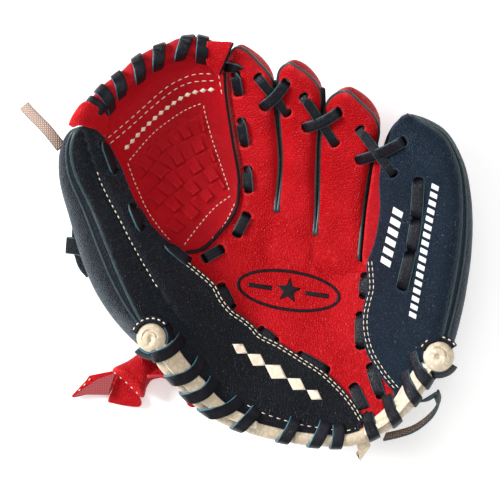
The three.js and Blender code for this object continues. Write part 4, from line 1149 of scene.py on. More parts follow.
def weave_relief(x, y):
    """Woven blocks: every other block rises towards its lower lip, the rest dip there."""
    relief = np.zeros(np.shape(x))
    area = inside(x, y, WEAVE_FRAME)
    if not area.any():
        return relief
    px, py = x[area], y[area]
    out = np.zeros(px.shape)
    rows = [resample(line, 1.0) for line in WEAVE]
    for k, (above, below) in enumerate(zip(rows[:-1], rows[1:])):
        da, along = nearest(px, py, above)
        db = nearest(px, py, below)[0]
        between = (side_of(px, py, above) < 0) & (side_of(px, py, below) > 0)
        v = da / np.maximum(da + db, 1e-6)
        u = along * WEAVE_CELLS
        even = (np.floor(u) + k) % 2 == 0
        f = u - np.floor(u)
        shoulder = np.clip(np.minimum(f, 1 - f) / 0.10, 0, 1) ** 0.5
        end = np.clip((1 - v) / 0.10, 0, 1) ** 0.5
        lip = (0.3 + 0.7 * v ** 1.3) * shoulder * end
        saddle = (0.6 - 0.6 * v) * (0.35 + 0.65 * np.sin(np.pi * f)) * np.clip(v / 0.1, 0, 1)
        out = np.where(between, np.where(even, lip, saddle), out)
    relief[area] = out * WEAVE_HEIGHT
    return relief


def web_height(x, y):
    """The web's front, rising to its roll."""
    gap = nearest(x, y, rim_edge)[0]
    roll = 3.3 * smoothstep(14.0, 6.5, gap)
    valley = -0.5 * np.exp(-(((gap - 15.5) / 2.2) ** 2))
    inner = -0.9 * smoothstep(0.0, 4.0, nearest(x, y, WEB_RIGHT)[0])
    return bowl(x, y) + 0.6 + roll + valley + inner + weave_relief(x, y)


web_outline = tidy_outline(np.vstack([
    beside(resample(WEB_RIGHT, 1.2), 0.3), rim_plan[:, :2][6:],
    [[-80, 68], [-76, 62]], beside(resample(WEB_LEFT[::-1], 1.2), -2.0),
]))
web = fill_mesh(web_outline, web_height, spacing=1.1, fine=(WEAVE_FRAME, 0.5))
piece("web_front", *web, SOFT_RED, "thumb_fold", slot="red_leather",
      nodes=("web_front_panel",), thickness=WEB_LEATHER)


def web_back_height(x, y):
    return bowl(x, y) - WEB_LEATHER


web_back = fill_mesh(web_outline, web_back_height, spacing=3.0)
piece("web_back", *web_back, SOFT_RED, "thumb_fold", slot="red_leather",
      nodes=("web_back_panel",), thickness=WEB_LEATHER)
rim_ends = 0.6 + 0.4 * smoothstep(0.0, 9.0, np.arange(len(rim_center), dtype=float))
piece("web_rim", *tube_mesh(rim_center, RIM_RADIUS * rim_ends, 20), SOFT_RED, "thumb_fold",
      slot="red_leather", nodes=("web_top_roll",))

# Each wrap: its eyelet, where it leaves the roll's outer side, and its bow in between.
RIM_WRAPS = [
    ([-70.9, 65.8], [-82.2, 74.4], -1.6), ([-68.6, 68.4], [-76.0, 80.6], -2.2),
    ([-63.8, 75.9], [-67.3, 87.9], -1.6), ([-54.5, 83.4], [-57, 96.2], -1.2),
    ([-45.9, 89.5], [-45.3, 102.7], -0.5), ([-35, 94.5], [-31.3, 105.2], 0),
    ([-24.2, 92.7], [-23.1, 105.2], 0),
]
strips("web_rim_lace",
       [wrap(a, b, bow, rim_center, RIM_RADIUS, web_height) for a, b, bow in RIM_WRAPS],
       "thumb_fold", ("web_top_lace",), materials=[LACE, LACE_EDGE_BLUE, LACE_BACK])

WEB_STITCHES = [
    [[-70.8, 55.6], [-57, 67.9], [-43.2, 80.1], [-34, 85.5], [-26.4, 87.8], [-16.4, 87.8]],
    [[-69.7, 53], [-59.3, 62.1], [-47.8, 72.5], [-37.1, 80.5], [-28, 84], [-14.2, 84.7]],
    [[-15.7, 87.8], [-13.8, 76.3]],
    [[-60.5, 44.9], [-49.4, 57.9], [-38.7, 66.4], [-31, 71], [-24.1, 73.6]],
    [[-23.3, 72.5], [-22.2, 67.1], [-18.8, 54.9], [-14.9, 43.4], [-10.3, 29.6]],
    [[-9.9, 27.3], [-17.2, 22], [-24.9, 13.5], [-34.1, 1.3]],
    [[-61.2, 43.4], [-57.8, 34.2], [-51.7, 20.4], [-45.5, 11.2], [-39.4, 4]],
    [[-7.7, 23.5], [-12.6, 13.5], [-20.3, 4.3]],
]
stitches("web_edge_stitching", WEB_STITCHES[:3], web_height, "thumb_fold", length=2.75,
         space=1.1, radius=0.26)
stitches("web_frame_stitching", WEB_STITCHES[3:], web_height, "thumb_fold", length=1.75,
         space=0.85, radius=0.26)

edge = resample(WEB_RIGHT, 1.0)
edge_radius = np.interp(np.linspace(0, 1, len(edge)), [0, 0.04, 0.28, 0.5, 1],
                        [0.3, 1.0, 0.95, 0.6, 0.5])
piece("web_seam", *tube_mesh(np.column_stack([edge, bowl(*edge.T) + 0.75]), edge_radius, 8),
      PRINT_BLACK, "thumb_fold", slot="welt")

# ------------------------------------------------------------------ backs, linings and pads


def back_shell(name, body, material, slot, node):
    """The leather back of a stall, closed to a point at the fingertip."""
    _, ahead_at, back = STALL[name]
    t, s = np.linspace(0, 1, 46), np.linspace(0, 1, 29)
    rows = back(t[:, None], s[None, :])
    last = rows[-1]
    tip = (last[0] + last[-1]) / 2 + ahead_at(np.array(1.0)) * 1.1
    rows = np.concatenate([rows, [tip + (last - tip) * 0.5], [tip + (last - tip) * 0.06]])
    faces = [f[::-1] for f in grid_faces(len(rows), len(s))]
    return piece(f"{name}_back_leather", rows.reshape(-1, 3), faces, material, body, slot=slot,
                 nodes=(node,), thickness=LEATHER)


def lining(name, body):
    """The cloth-like leather lining inside a stall."""
    back = STALL[name][2]
    t, s = np.linspace(0.0, 0.84, 24), np.linspace(0.0, 1, 15)
    under = back(t[:, None], s[None, :], -2.6)
    left, right = under[:, :1], under[:, -1:]
    k = np.linspace(0, 1, 8)[None, 1:-1, None]
    over = right + (left - right) * k
    over = over + [0, 0, -1.0]
    rows = np.concatenate([under, over], axis=1)
    middle = rows.mean(axis=1, keepdims=True)
    rows = middle + (rows - middle) * 0.82
    piece(f"{name}_lining", rows.reshape(-1, 3), grid_faces(len(t), rows.shape[1], closed=True),
          LINING, body, slot="lining", nodes=(f"{name}_liner",), thickness=0.7)


for finger in FINGERS:
    back_shell(finger, "palm", RED, "red_leather", f"{finger}_back")
    lining(finger, "palm")
    welt = np.column_stack([SEAMS[finger][:, :2], SEAMS[finger][:, 2] + 0.25])
    piece(f"{finger}_seam_welt", *tube_mesh(welt, WELT_RADIUS, 8), WELT, "palm", slot="welt",
          nodes=(f"{finger}_welt",))
back_shell("thumb", "thumb_side", BLACK, "black_leather", "thumb_back")
back_shell("pinky", "pinky_side", NAVY, "navy_leather", "pinky_back")
lining("thumb", "thumb_side")
lining("pinky", "pinky_side")


def outer_seam(name, s, node, body):
    """The welt round a stall's outer edge, with a second ridge just outside it."""
    frame_at, _, back = STALL[name]
    t = np.linspace(0, 1, 60)
    side = 0 if s < 0.5 else 1
    line = frame_at(t)[side]
    ridge = back(np.linspace(0, 0.97, 60), np.full(60, s))
    mesh = merged([tube_mesh(line + [0, 0, 0.4], WELT_RADIUS, 8), tube_mesh(ridge, 0.7, 8)])
    piece(f"{name}_seam_welt", *mesh, WELT, body, slot="welt", nodes=(node,))


outer_seam("thumb", 0.045, "thumb_welt", "thumb_side")
outer_seam("pinky", 0.96, "pinky_welt", "pinky_side")


def inset(outline, distance):
    return outline + inward_of(outline) * distance * np.sign(plan_area(outline))


def under_layer(name, outline, height, depth, material, body, slot, node, thickness=1.2):
    """A hidden layer that lies some way below a leather front."""
    layer = fill_mesh(inset(outline, 1.2), lambda x, y: height(x, y) - depth, spacing=3.0,
                      rim=())
    return piece(name, *layer, material, body, slot=slot, nodes=(node,), thickness=thickness)


# The pads under the fronts are dark felt: painted shade seen through the eyelet holes.
for pad in (
    under_layer("palm_padding", red_outline, red_height, 3.0, FELT_PAINTED_SHADE, "pinky_fold", "felt",
                "palm_pad", 2.0),
    under_layer("thumb_padding", black_outline, black_height, 3.2, FELT_PAINTED_SHADE, "thumb_fold",
                "insert", "thumb_insert"),
    under_layer("little_finger_padding", navy_outline, navy_height, 3.2, FELT_PAINTED_SHADE, "pinky_fold",
                "insert", "pinky_insert"),
):
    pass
HAND_OUTLINE = resample([
    [-40, -34], [-20, -62], [8, -74], [45, -76], [58, -62], [60, -20], [56, 4], [32, 8],
    [8, 16], [-4, 18], [-14, 8], [-34, -4],
], 2.0, closed=True)
under_layer("palm_lining", HAND_OUTLINE, bowl, 6.5, LINING, "palm", "lining", "palm_liner", 1.0)

BACK_OUTLINE = resample([
    [-20, -60.5], [-33, -52.5], [-50, -10], [-52, 10], [-30, 20], [0, 24], [32, 15], [58, -2],
    [60, -30], [57, -56], [30, -63], [5, -65],
], 1.5, closed=True)
OPENING_X, OPENING_Y = 6, -28
OPENING_REACH_X, OPENING_REACH_Y = 22, 17
OPENING = ellipse(OPENING_X, OPENING_Y, OPENING_REACH_X, OPENING_REACH_Y, count=49)
BACK_HEIGHT = 5.2
HALF_OVERLAP = 0.2


def half_of(sign):
    """The part of the hand back on one side of its middle line, with its half opening."""
    def on_this_side(points):
        return points[(points[:, 0] - OPENING_X) * sign >= 0]

    def angle(points):
        return np.arctan2(points[:, 1] - OPENING_Y, (points[:, 0] - OPENING_X) * sign)

    ring, rim = on_this_side(BACK_OUTLINE), on_this_side(OPENING)
    ring, rim = ring[np.argsort(angle(ring))], rim[np.argsort(-angle(rim))]
    middle = OPENING_X - HALF_OVERLAP * sign
    return tidy_outline(np.vstack([
        ring, [[middle, ring[-1, 1]]], [[middle, OPENING_Y + OPENING_REACH_Y]],
        rim, [[middle, OPENING_Y - OPENING_REACH_Y]], [[middle, ring[0, 1]]],
    ]))


def hand_back_height(x, y):
    """A flat sheet with a low ridge round its opening."""
    ring = ((x - OPENING_X) / 26) ** 2 + ((y - OPENING_Y) / 21) ** 2
    return BACK_HEIGHT + 0.5 * np.exp(-(ring - 1) ** 2 * 8)


for side_name, sign, body, nodes in (("left", -1, "thumb_back", ("hand_back_panel",)),
                                     ("right", 1, "pinky_back", ())):
    half_back = fill_mesh(half_of(sign), hand_back_height, spacing=2.5)
    piece(f"hand_back_{side_name}", *half_back, BLACK, body, slot="black_leather",
          nodes=nodes, thickness=LEATHER)
opening_rim = resample(OPENING, 1.5, closed=True)
piece("hand_back_binding",
      *tube_mesh(np.column_stack([np.vstack([opening_rim, opening_rim[:1]]),
                                  np.full(len(opening_rim) + 1, BACK_HEIGHT)]), 1.3, 8), WELT,
      "palm", slot="welt")

# ------------------------------------------------------------------ laces


def dashes(name, runs, surface, body, nodes=(), lift=LACE_LIFT, **more):
    """The visible runs of one lace."""
    return strips(name, [dash(a, b, surface, lift, **more) for a, b in runs], body, nodes)


INDEX_LEAD = ([-14.2, 91.6], [-5.4, 90.2])
dashes("index_lace", INDEX_DASHES + [INDEX_LEAD], red_height, "palm", ("web_index_lace",))
dashes("web_foot_lace", [BASE_DASH], red_height, "thumb_fold", ("web_base_lace",))
dashes("thumb_lace", THUMB_DASHES + [([-41.0, 2.4], [-31.0, -5.6])], black_height,
       "thumb_fold", ("web_thumb_lace",))
dashes("little_finger_lace", PINKY_DASHES, navy_height, "pinky_side", ("pinky_lace",),
       lift=1.1, width=6.6, level=1.2)
UNDER_EDGE = 0.2
dashes("palm_left_lace", PALM_LEFT, red_height, "palm", ("palm_lace_left",), lift=UNDER_EDGE)
dashes("palm_right_lace", PALM_RIGHT, red_height, "pinky_fold", ("palm_lace_right",),
       lift=UNDER_EDGE, width=6.0)


def cross_laces(name, pair, first, second, body, node):
    """Two crossed strands between neighbouring fingertips."""
    (a1, b1), (a2, b2) = pair
    strands = [bridge(a1, b1, first, second, LACE_LIFT, 4.9),
               bridge(a2, b2, first, second, LACE_LIFT + 1.5, 5.6, bow=-1.0)]
    strips(name, strands, body, (node,))


cross_laces("index_to_middle_lace", CROSS_1, red_height, red_height, "palm",
            "index_middle_lace")
cross_laces("middle_to_ring_lace", CROSS_2, red_height, red_height, "palm",
            "middle_ring_lace")
cross_laces("ring_to_little_lace", CROSS_3, red_height, navy_height, "pinky_fold",
            "ring_pinky_lace")

# ------------------------------------------------------------------ seams and stitching

stitches("thumb_stitching", [beside(resample(THUMB_STITCH, 1.0), 0.2)], black_height,
         "thumb_fold", length=2.2, space=0.9, radius=0.34)
piece("heel_chain_stitch", *chain_mesh(beside(resample(CHAIN_LEFT, 1.0), -0.2), black_height),
      THREAD, "thumb_fold", slot="cream_leather")
piece("little_finger_chain_stitch",
      *chain_mesh(beside(resample(CHAIN_RIGHT, 1.0), 0.3), navy_height, 0.85), THREAD,
      "pinky_fold", slot="cream_leather")
GAPS = [
    [[12.6, 84], [12.9, 70.1], [14.3, 59], [15.4, 47.4], [15.2, 37.2], [14.4, 29.5], [13.2, 18.6]],
    [[36.0, 80], [36.4, 70.1], [35.2, 60], [34.4, 44.8], [34.1, 34.6], [33.9, 24.4], [33, 6.8]],
    [[62.8, 53], [61, 41.6], [59.4, 31.4], [58, 21.2], [57, 11], [56.2, 2], [55.6, -5.6]],
]
GUSSET_DEPTHS, GUSSET_RADIUS = (6.8, 8.6), 1.5
gap_walls = []
for line in GAPS:
    route = resample(line, 1.5)
    for depth in GUSSET_DEPTHS:
        wall = np.column_stack([route, bowl(*route.T) - depth])
        gap_walls.append(tube_mesh(wall, GUSSET_RADIUS, 8))
piece("finger_gussets", *merged(gap_walls), PRINT_BLACK, "palm", slot="black_leather")
GAP_STRIP = np.array([
    [62.6, 48], [61.6, 41.6], [60.2, 31.4], [58.8, 21.2], [57.8, 11], [57.2, 4], [56.6, -3.7],
    [57.6, -8], [60.5, -6], [63, -1], [65, 6], [66.6, 14], [66.6, 30], [66.2, 40], [67.5, 48],
])
gap_strip = fill_mesh(resample(GAP_STRIP, 1.2, closed=True),
                      lambda x, y: bowl(x, y) - 0.9, rim=())
piece("little_finger_gusset", *gap_strip, SOFT_RED, "pinky_fold", slot="red_leather",
      thickness=LEATHER)

# ------------------------------------------------------------------ heel roll and its laces


def heel_height(x, y):
    """The leather next to the heel roll, whichever panel is there."""
    on_navy = inside(x, y, navy_outline)
    on_red = inside(x, y, red_outline)
    z = np.where(on_red, red_height(x, y), black_height(x, y))
    return np.where(on_navy, navy_height(x, y), z)


THUMB_WRAPS = [
    ([-33, -42], [-50.5, -53.5], 3.2), ([-23.4, -52.6], [-40.6, -65], 4.2),
    ([-17, -63], [-33.5, -74], 3.8), ([-3.6, -73.4], [-25, -81.6], 3.2),
    ([4.4, -78.8], [-7.4, -90.8], 0.6),
]
MIDDLE_WRAPS = [([23.5, -83.5], [15.5, -97.5], 0.8), ([38.4, -85], [31.4, -99.6], 0.8),
                ([44.4, -86.6], [42.8, -100.6], 0.8)]
PINKY_WRAPS = [
    ([58.8, -80.4], [64.2, -97.4], -1.0), ([68.5, -71.4], [76.6, -90.6], -1.5),
    ([77, -59.2], [87.2, -78.6], -2.4), ([80.7, -49.8], [92, -68.4], -2.4),
]
crossings = []
for a, b, _ in THUMB_WRAPS + MIDDLE_WRAPS + PINKY_WRAPS:
    a, b = np.array(a), np.array(b)
    line = a + (b - a) * np.linspace(0, 1, 60)[:, None]
    gaps = np.linalg.norm(line[:, None] - roll_plan[None], axis=-1)
    crossings.append(np.unravel_index(gaps.argmin(), gaps.shape)[1])
steps = np.arange(len(roll_plan))
free = np.abs(steps[:, None] - np.array(crossings)[None]).min(1)
roll_radius = ROLL_RADIUS * (0.94 + 0.13 * smoothstep(1.5, 6.0, free))
ROLL_SPLIT = 22  # the roll's left length ends here, and its right one begins
half = int(np.argmin(np.abs(roll_plan[:, 0] - ROLL_SPLIT)))
for name, part, body, nodes in (
    ("heel_roll_left", slice(0, half + 1), "thumb_fold", ("heel_roll_thumb",)),
    ("heel_roll_right", slice(half, None), "pinky_fold", ("heel_roll_center",
                                                          "heel_roll_pinky")),
):
    piece(name, *tube_mesh(roll_center[part], roll_radius[part], 20), CREAM, body,
          slot="cream_leather", nodes=nodes)


# The flat inner edge of the roll's binding, where it is wide enough to show.
LEFT_BINDING = [
    [-38.5, -43.5], [-36.2, -48], [-33.8, -52.1], [-29.3, -57.9], [-25.5, -62.7],
    [-22.6, -65.5], [-17.5, -71.9], [-10.2, -78.3], [-2.5, -82.5], [4, -86.2],
]
RIGHT_BINDING = [
    [57, -87.5], [62.8, -83.4], [66.6, -80.2], [71.9, -74.7], [75.2, -69.2], [77.5, -65.5],
    [80, -61.8], [84, -55.5],
]
BINDING_RISE = 2.0
BINDING_FADE = 4.0
bindings = [(resample(LEFT_BINDING, 1.0), -1), (resample(RIGHT_BINDING, 1.0), 1)]


def binding_height(x, y):
    """The heel leather, and the binding where it lies on it."""
    height = heel_height(x, y)
    for edge_line, sign in bindings:
        gap = nearest(x, y, edge_line)[0] * -side_of(x, y, edge_line)
        rise = BINDING_RISE * smoothstep(-0.6, 0.8, gap) + 0.9 * smoothstep(0.5, 5.0, gap)
        inner_end = edge_line[-1 if sign < 0 else 0][0]
        height = height + rise * smoothstep(-BINDING_FADE, 0, (x - inner_end) * sign)
    return height


for side_name, (edge_line, sign), body, low_x, high_x in (
    ("left", bindings[0], "thumb_fold", -47, 4), ("right", bindings[1], "pinky_fold", 57, 91),
):
    under_roll = np.array([p for p in roll_plan if low_x < p[0] < high_x])
    outline = tidy_outline(np.vstack([edge_line, under_roll[::-1]]))
    piece(f"heel_binding_{side_name}", *fill_mesh(outline, binding_height, spacing=1.2),
          CREAM, body, slot="cream_leather", thickness=1.2)


def wraps(name, runs, body, nodes, looks, materials=None):
    parts = [wrap(a, b, bow, roll_center, ROLL_RADIUS, binding_height, looks)
             for a, b, bow in runs]
    strips(name, parts, body, nodes, materials)


wraps("heel_lace_left", THUMB_WRAPS, "thumb_fold", ("heel_lace_thumb",), RIGHT_EDGE,
      [LACE, LACE_EDGE_BLUE, LACE_BACK])
wraps("heel_lace_middle", MIDDLE_WRAPS, "palm", ("heel_lace_center",), RIGHT_EDGE,
      [LACE, LACE_EDGE_BLUE, LACE_BACK])
wraps("heel_lace_right", PINKY_WRAPS, "pinky_fold", ("heel_lace_pinky",), LEFT_EDGE)
HEEL_STITCHES = [[-1.5, -77.8], [9, -82.8], [25, -87.6], [38.5, -89.8], [47, -90.9], [55, -89]]
stitches("heel_edge_stitching", [HEEL_STITCHES], heel_height, "palm", length=2.4, space=1.6,
         radius=0.27)


def coil(name, x, y, radius, turn, body):
    """The rolled-up end of the heel roll, seen on its end: a soft dome with a spiral crease."""
    rings, around = 26, 56
    r = np.linspace(0.02, 1, rings)[:, None]
    a = np.linspace(0, 2 * np.pi, around, endpoint=False)[None]
    spiral = (r * 1.9 - (a - turn) / (2 * np.pi)) % 1.0
    groove = np.exp(-((np.minimum(spiral, 1 - spiral) / 0.09) ** 2)) * (r > 0.1) * (r < 0.62)
    groove = groove * np.clip(np.cos((a - turn) / 2), 0, 1) ** 0.5
    dimple = np.exp(-((r / 0.2) ** 2))
    dome = 4.6 * np.sqrt(np.maximum(1 - (r * 0.985) ** 2, 0))
    fold = np.exp(-((np.sin((a - turn - 2.4) / 2) / 0.16) ** 2)) * np.exp(-(((r - 0.35) / 0.3) ** 2))
    z = dome - 1.5 * groove - 1.6 * dimple - 1.1 * fold
    top = np.stack([radius * r * np.cos(a), radius * r * np.sin(a), z + 0 * a], -1)
    skirt = top[-1:] + np.array([0, 0, -1.0]) * np.linspace(1.5, 11, 5)[:, None, None]
    skirt = skirt * [0.97, 0.97, 1]
    rows = np.concatenate([top, skirt])
    base = float(bowl(np.array(x), np.array(y)))
    points = rows.reshape(-1, 3) + [x, y, base + 0.6]
    faces = grid_faces(len(rows), around, closed=True)
    piece(name, points, faces, CREAM, body, slot="cream_leather")


LEFT_COIL = (-49.1, -43.5, 7.3)
RIGHT_COIL = (93.8, -52.8, 7.7)
coil("heel_roll_end_left", *LEFT_COIL, 2.0, "thumb_side")
coil("heel_roll_end_right", *RIGHT_COIL, 0.6, "pinky_side")


def arc_round(center, radius, start, stop, count, lift, lean):
    """An arc round a roll end, from start to stop degrees, and the way that its band faces."""
    x, y, _ = center
    base = float(bowl(np.array(x), np.array(y)))
    a = np.radians(np.linspace(start, stop, count))
    ring = np.stack([x + radius * np.cos(a), y + radius * np.sin(a), 0 * a + base + lift], -1)
    return ring, np.stack([np.cos(a), np.sin(a), 0 * a + lean], -1)


def cap_strip(name, center, radius, start, stop, body, width=4.2):
    """A leather band round a roll end, with a row of stitches on its face."""
    ring, outward = arc_round(center, radius, start, stop, 30, 1.2, 0.9)
    points, faces, looks = strip_mesh(ring, outward, width)
    piece(name, points, faces, [BLACK, BLACK, BLACK], body, slot="black_leather",
          indices=looks)
    seam = ring + unit(outward) * 0.95
    parts = []
    for i in range(1, len(ring) - 3, 4):
        parts.append(tube_mesh(seam[i:i + 3], [0.25, 0.42, 0.25], 6))
    piece(name + "_stitches", *merged(parts), THREAD, body, slot="cream_leather")


cap_strip("left_roll_end_band", LEFT_COIL, 8.9, 40, 165, "thumb_side")
cap_strip("right_roll_end_band", RIGHT_COIL, 9.0, 30, 160, "pinky_side")


def collar(name, center, radius, start, stop, body, drop=2.0, width=5.4, edge=None):
    """A lace wound round a roll end, below its band."""
    ring, outward = arc_round(center, radius, start, stop, 34, -drop, 0.75)
    strips(name, [strip_mesh(ring, outward, width)], body,
           materials=[LACE, edge or LACE_EDGE, LACE_BACK])


collar("left_collar_lace", LEFT_COIL, 9.3, 40, -140, "thumb_side", edge=LACE_EDGE_BLUE)
collar("right_collar_lace", RIGHT_COIL, 9.3, 200, 330, "pinky_side", drop=2.6)

# ------------------------------------------------------------------ bands, strap and knot


def patch(name, outline, height, material, body, nodes=(), slot="red_leather",
          thickness=LEATHER, spacing=1.25, smooth_outline=False):
    """A small flat leather piece cut to a plan outline and laid on a height."""
    outline = np.array(outline, float)
    if smooth_outline:
        ring = resample(outline, 1.0, closed=True)
    else:
        corners = np.vstack([outline, outline[:1]])
        ring = np.vstack([
            a + (b - a) * np.linspace(0, 1, max(2, int(np.linalg.norm(b - a))), endpoint=False)[
                :, None] for a, b in zip(corners[:-1], corners[1:])])
    mesh = fill_mesh(ring, height, spacing=spacing)
    return piece(name, *mesh, material, body, slot=slot, nodes=nodes, thickness=thickness)


TIP_OUTLINE = [
    [-89.4, 61.6], [-87.9, 65.4], [-84.3, 70.9], [-81, 73.3], [-76.5, 71.4], [-72.7, 68.5],
    [-70, 65.4], [-70.8, 60], [-71.5, 55.6], [-75, 58.9], [-79.3, 60.4], [-83.7, 61.3],
    [-87.5, 60.6],
]
TIP_SHOULDER = [[-91, 58], [-90.6, 61], [-88.4, 66], [-84.8, 71.6], [-81, 74.2]]


def tip_height(x, y):
    droop = rounding(x, y, TIP_SHOULDER, 9.0, 9.0)
    return bowl(x, y) + 5.4 + 0.2 * (y - 64) + 2.6 * smoothstep(66, 58, y) - droop


patch("thumb_tip_band", TIP_OUTLINE, tip_height, RED, "thumb_side", ("thumb_tip_loop",),
      smooth_outline=True)
RIGHT_BAND = [[-21.3, 103.2], [-21.7, 98], [-21.6, 92.8], [-18.6, 89.8], [-15.2, 86.7],
              [-11.9, 94.4], [-8.4, 102.0], [-14.8, 103.0]]


def right_band_height(x, y):
    crest = rounding(x, y, [[-24, 106.4], [-14, 105.2], [-6, 104]], 6.0, 7.0)
    return bowl(x, y) + 5.4 - 1.7 * smoothstep(97, 88, y) - crest


patch("web_end_band", RIGHT_BAND, right_band_height, RED, "thumb_fold", smooth_outline=True)
band_edge = resample([[-8.4, 102.4], [-11.6, 95], [-15, 87.4]], 1.0)
piece("web_end_band_edge",
      *tube_mesh(np.column_stack([band_edge, right_band_height(*band_edge.T)]), 0.5, 8),
      PRINT_BLACK, "thumb_fold", slot="welt")

LOW = 1.022  # pieces near the floor are drawn a little larger to fill the same view


def low(points):
    """A plan outline near the floor, drawn a little larger."""
    return [[x * LOW, y * LOW] for x, y in points]


KNOT = low([[-54.2, -50.6], [-61, -55.4], [-68.9, -59.9], [-63.6, -65.4], [-54.2, -74],
            [-51.6, -68.6], [-48.8, -65], [-42.4, -63], [-46.4, -56.8]])
LONG_TAIL = low([[-69, -60.6], [-80.7, -63], [-82.2, -65.3], [-89.8, -73.4], [-88.6, -74.2],
                 [-82.2, -72.6], [-71, -72.6], [-65.6, -62.4]])
LONG_UNDER = low([[-67.4, -61.6], [-76, -64.6], [-83.6, -69.6], [-88.6, -73.8],
                  [-82.2, -72.6], [-71, -72.6]])
SHORT_TAIL = low([[-66.4, -63.3], [-70.8, -74.7], [-69.7, -76.8], [-56, -78.8], [-55.5, -74],
                  [-62.3, -65.8]])


KNOT_MIDDLE, KNOT_SWELL, KNOT_SOFT = 8.6, 6.2, 7.5
KNOT_CREASE = [[-66, -56.5], [-57.5, -66], [-53, -70.5]]
knot_ring = resample(KNOT, 1.0, closed=True)
knot_loop = np.vstack([knot_ring, knot_ring[:1]])


def knot_swell(x, y):
    """Half the knot's thickness: full inside, none at its edge, and thin where the strap joins."""
    u = np.clip(nearest(x, y, knot_loop)[0] / KNOT_SOFT, 0, 1)
    fold = 0.9 * np.exp(-((nearest(x, y, KNOT_CREASE)[0] / 1.3) ** 2))
    swell = KNOT_SWELL * np.sqrt(1 - (1 - u) ** 2) - fold * u
    return swell * (1 - 0.65 * smoothstep(-55, -45, x))


def knot_height(x, y):
    return KNOT_MIDDLE + knot_swell(x, y)


def pillow(ring, middle, swell, spacing=1.0):
    """A closed form, puffed above and below its outline."""
    points, faces = fill_mesh(ring, lambda x, y: middle + 0 * x, spacing=spacing)
    points[:, 2] = middle
    thick = swell(points[:, 0], points[:, 1])
    inner = thick > 0.05
    thick = np.where(inner, thick, 0)
    below = np.where(inner, len(points) + np.cumsum(inner) - 1, np.arange(len(points)))
    rise = np.column_stack([0 * thick, 0 * thick, thick])
    under = [tuple(int(below[i]) for i in face)[::-1] for face in faces]
    return np.vstack([points + rise, (points - rise)[inner]]), list(faces) + under


piece("strap_knot_band", *pillow(knot_ring, KNOT_MIDDLE, knot_swell), RED, "thumb_side",
      slot="red_leather", nodes=("strap_knot",))


def tail_rise(x):
    """How far the long tail has climbed from its end towards the knot."""
    return 0.22 * (x + 92)


patch("strap_long_tail", LONG_TAIL, lambda x, y: 3.4 + tail_rise(x), RED, "thumb_side",
      ("strap_tail_long",))
patch("strap_long_tail_underside", LONG_UNDER, lambda x, y: 3.9 + tail_rise(x), PINK_CLOTH,
      "thumb_side", slot="lining", thickness=0.5)
patch("strap_short_tail", SHORT_TAIL,
      lambda x, y: 7.0 + 0.25 * (y + 66) + 0.12 * np.sin(x * 1.1 + y * 0.4), RED, "thumb_side",
      ("strap_tail_short",), spacing=1.4, smooth_outline=True)
knot_seams = [low([[-68, -61.2], [-61.5, -66.6], [-54.8, -73]]),
              low([[-80, -64.4], [-84, -68.6], [-88.6, -73.2]])]
stitches("strap_stitching", knot_seams, lambda x, y: np.where(x > -70, knot_height(x, y),
         4.2 + tail_rise(x)), "thumb_side", THREAD, length=1.6, space=2.2)
patch("strap_end", low([[-33, -70], [-27, -70], [-24.6, -76], [-27.6, -78.8], [-31.4, -77.4]]),
      lambda x, y: 8.0 + 0 * x, RED, "thumb_strap", smooth_outline=True)

STRAP_LINE = [[-53, -61, 9], [-45, -60.8, 8.5], [-36, -64, 7.5], [-22, -69.8, 6.6],
              [0, -71.5, 6.2], [30, -71.5, 6.2], [54, -69, 7], [66, -64, 9], [78, -58, 14]]
strap = resample(STRAP_LINE, 1.5)
for name, low_x, high_x, body, node, inside_face in (
    ("strap_left", -60, 13, "thumb_strap", "wrist_strap_thumb", RED),
    ("strap_middle", 11, 22, "palm", "wrist_strap_center", PINK_CLOTH),
    ("strap_right", 20, 80, "pinky_strap", "wrist_strap_pinky", PINK_CLOTH),
):
    part = strap[(strap[:, 0] >= low_x) & (strap[:, 0] <= high_x)]
    ups = np.tile([0.0, 1.0, 0.8], (len(part), 1))
    points, faces, looks = strip_mesh(part, ups, STRAP_WIDTH, STRAP_THICKNESS)
    piece(name, points, faces, [inside_face, RED_THREAD, RED], body, slot="red_leather",
          nodes=(node,), indices=looks)

FLANK_STRIPS = [
    ([[-84.5, 22, 42], [-87.6, 15, 37], [-88.4, 6, 33]], 3.4),
    ([[-79, -1, 34], [-77.6, -8, 31], [-75.4, -17, 29]], 5.0),
]
loops = [strip_mesh(resample(line, 1.5), np.array([-0.5, -0.2, 1.0]), width)
         for line, width in FLANK_STRIPS]
strips("thumb_flank_loop", loops, "thumb_side", ("thumb_loop",),
       materials=[LACE, LACE_EDGE_BLUE, LACE])
keeper = [strip_mesh(resample([[-92.5, 2.5, 33], [-86, 1.5, 36], [-79.5, -1, 37]], 1.5),
                     np.array([-0.2, -0.1, 1.0]), 8.6, 1.8),
          strip_mesh(resample([[-86.2, -2, 33], [-84.2, -8, 31], [-80.6, -12.5, 28]], 1.5),
                     np.array([-0.4, -0.2, 1.0]), 5.6, 1.6)]
strips("thumb_flank_keeper", keeper, "thumb_side", ("thumb_loop_keeper",),
       materials=[BLACK, LACE_EDGE, BLACK], slot="black_leather")

patch("heel_pull_tab", [[53.6, -96.5], [55.4, -106.8], [60.8, -98.6], [60, -95]],
      lambda x, y: 38.0 + 0.35 * (y + 98), CREAM, "pinky_side", ("heel_tab",),
      slot="cream_leather", thickness=1.6)
patch("heel_tongue", [[50, -72], [60, -72], [66.8, -79.8], [62.8, -84.4], [58.6, -80.6],
                      [54.6, -84.5]],
      lambda x, y: red_height(x, y) + 0.25, RED, "pinky_fold", thickness=1.2)

# ------------------------------------------------------------------ printed marks


